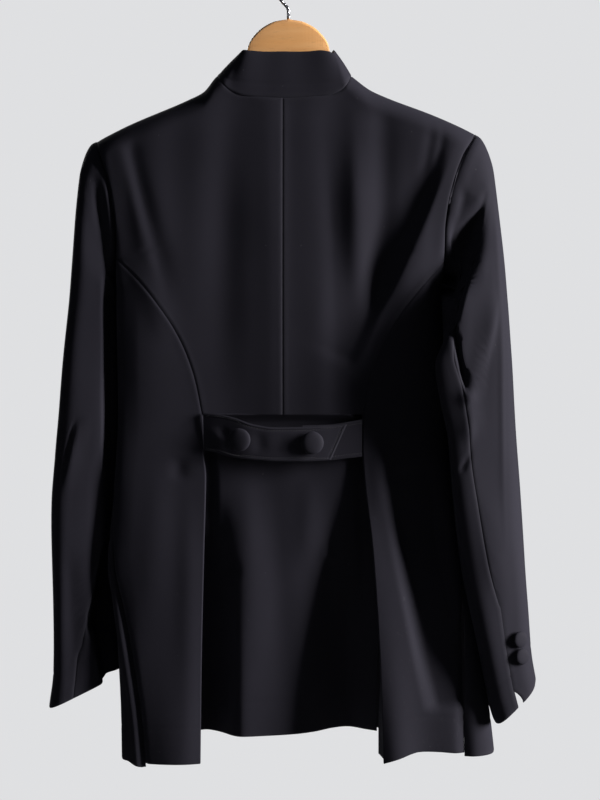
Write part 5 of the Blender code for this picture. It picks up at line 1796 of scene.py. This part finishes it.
# In metres, as the lights' and the camera's places are.
FLOOR_Z = -1.8
FLOOR_SIZE = 4.0
FLOOR_DARK = (0.62, 0.62, 0.62, 1.0)
FLOOR_LIGHT = (0.651, 0.651, 0.651, 1.0)
BACKDROP = (0.74, 0.745, 0.76, 1.0)
AROUND = (0.86, 0.9, 1.0, 1.0)
AMBIENT = 0.014
# The camera looks level at the garment's back.
CAMERA = (-0.0132, 1.55, -0.498)
LENS = 61.36
SENSOR = 36.0
AIM = (0.0, 0.0, -0.5)
# Name, place, size, power, colour and spread in degrees of each lamp.
LAMPS = (
    ("window", (-3.2, 0.73, 0.25), (0.65, 1.9), 40.0, (1.0, 0.965, 0.985), 60),
    ("fill", (0.9, 1.6, 1.9), (2.4, 2.4), 6.0, (0.85, 0.9, 1.0), 180),
    ("front fill", (0.8, -2.8, 0.3), (2.4, 2.4), 60.0, (1.0, 0.99, 0.97), 180),
)


def floor_material():
    """A pale matt floor, very slightly mottled."""
    material, t, shader = new_material("pale floor")
    place = t.add("ShaderNodeTexCoord")
    mottle = t.add("ShaderNodeTexNoise", {"Vector": place.outputs["Object"], "Scale": 3.0, "Detail": 4.0})
    t.feed(shader.inputs["Base Color"], t.mix(mottle.outputs["Fac"], FLOOR_DARK, FLOOR_LIGHT))
    t.feed(shader.inputs["Roughness"], 0.9)
    return material


def studio():
    """The floor below, and a plain pale backdrop that hardly lights the cloth."""
    bm = bmesh.new()
    bmesh.ops.create_grid(bm, x_segments=8, y_segments=8, size=FLOOR_SIZE / 2)
    bmesh.ops.translate(bm, verts=bm.verts, vec=(0, 0, FLOOR_Z))
    floor = piece_of(bm, "studio_floor", smooth=False)
    floor.data.materials.append(floor_material())

    world = bpy.data.worlds.new("studio")
    bpy.context.scene.world = world
    world.use_nodes = True
    world.node_tree.nodes.clear()
    t = Tree(world.node_tree)
    seen = t.add("ShaderNodeBackground", {"Color": BACKDROP, "Strength": 1.0})
    around = t.add("ShaderNodeBackground", {"Color": AROUND, "Strength": AMBIENT})
    path = t.add("ShaderNodeLightPath")
    chosen = t.add(
        "ShaderNodeMixShader",
        {"Fac": path.outputs["Is Camera Ray"], 1: around.outputs[0], 2: seen.outputs[0]},
    )
    out = t.add("ShaderNodeOutputWorld")
    t.feed(out.inputs["Surface"], chosen.outputs[0])


def soft_lamp(name, place, size, power, colour, spread):
    """A rectangular lamp turned to the garment."""
    light = bpy.data.lights.new(name, "AREA")
    light.shape = "RECTANGLE"
    light.size, light.size_y = size
    light.energy = power
    light.spread = math.radians(spread)
    light.color = colour
    lamp = bpy.data.objects.new(name, light)
    lamp.location = place
    lamp.rotation_euler = (Vector(AIM) - Vector(place)).to_track_quat("-Z", "Y").to_euler()
    bpy.context.scene.collection.objects.link(lamp)


def lights_and_camera():
    """The lamps, and the camera at the photo's viewing angle."""
    for lamp in LAMPS:
        soft_lamp(*lamp)
    camera = bpy.data.cameras.new("camera")
    camera.lens = LENS
    camera.sensor_width = SENSOR
    camera.dof.use_dof = False
    eye = bpy.data.objects.new("camera", camera)
    eye.location = CAMERA
    eye.rotation_euler = (math.radians(90), 0, math.radians(180))
    bpy.context.scene.collection.objects.link(eye)
    bpy.context.scene.camera = eye
    bpy.context.scene.view_settings.view_transform = "Standard"
    bpy.context.scene.view_settings.look = "None"


# ------------------------------------------------------------------ everything together


def main():
    """Makes the materials, every piece and the studio."""
    twill = twill_group()
    handling = handling_group()
    jacket = suiting("black suiting", twill, handling, SUITING_LIGHT, 0.8)
    cover = suiting("button cloth", twill, handling, BUTTON_LIGHT, 0.72)
    for side in SIDES:
        upper_back(side, jacket)
        front(side, jacket)
        side_back(side, jacket)
        sleeve(side, jacket)
    back_skirt(jacket)
    collar(jacket)
    over, under, sewn, sewn_under = belts(jacket, thread_material())
    buttons = belt_buttons(cover)
    front_buttons(cover)
    cuff_buttons(cover)
    hanger(wood_material())
    hook(steel_material())
    studio()
    lights_and_camera()


main()
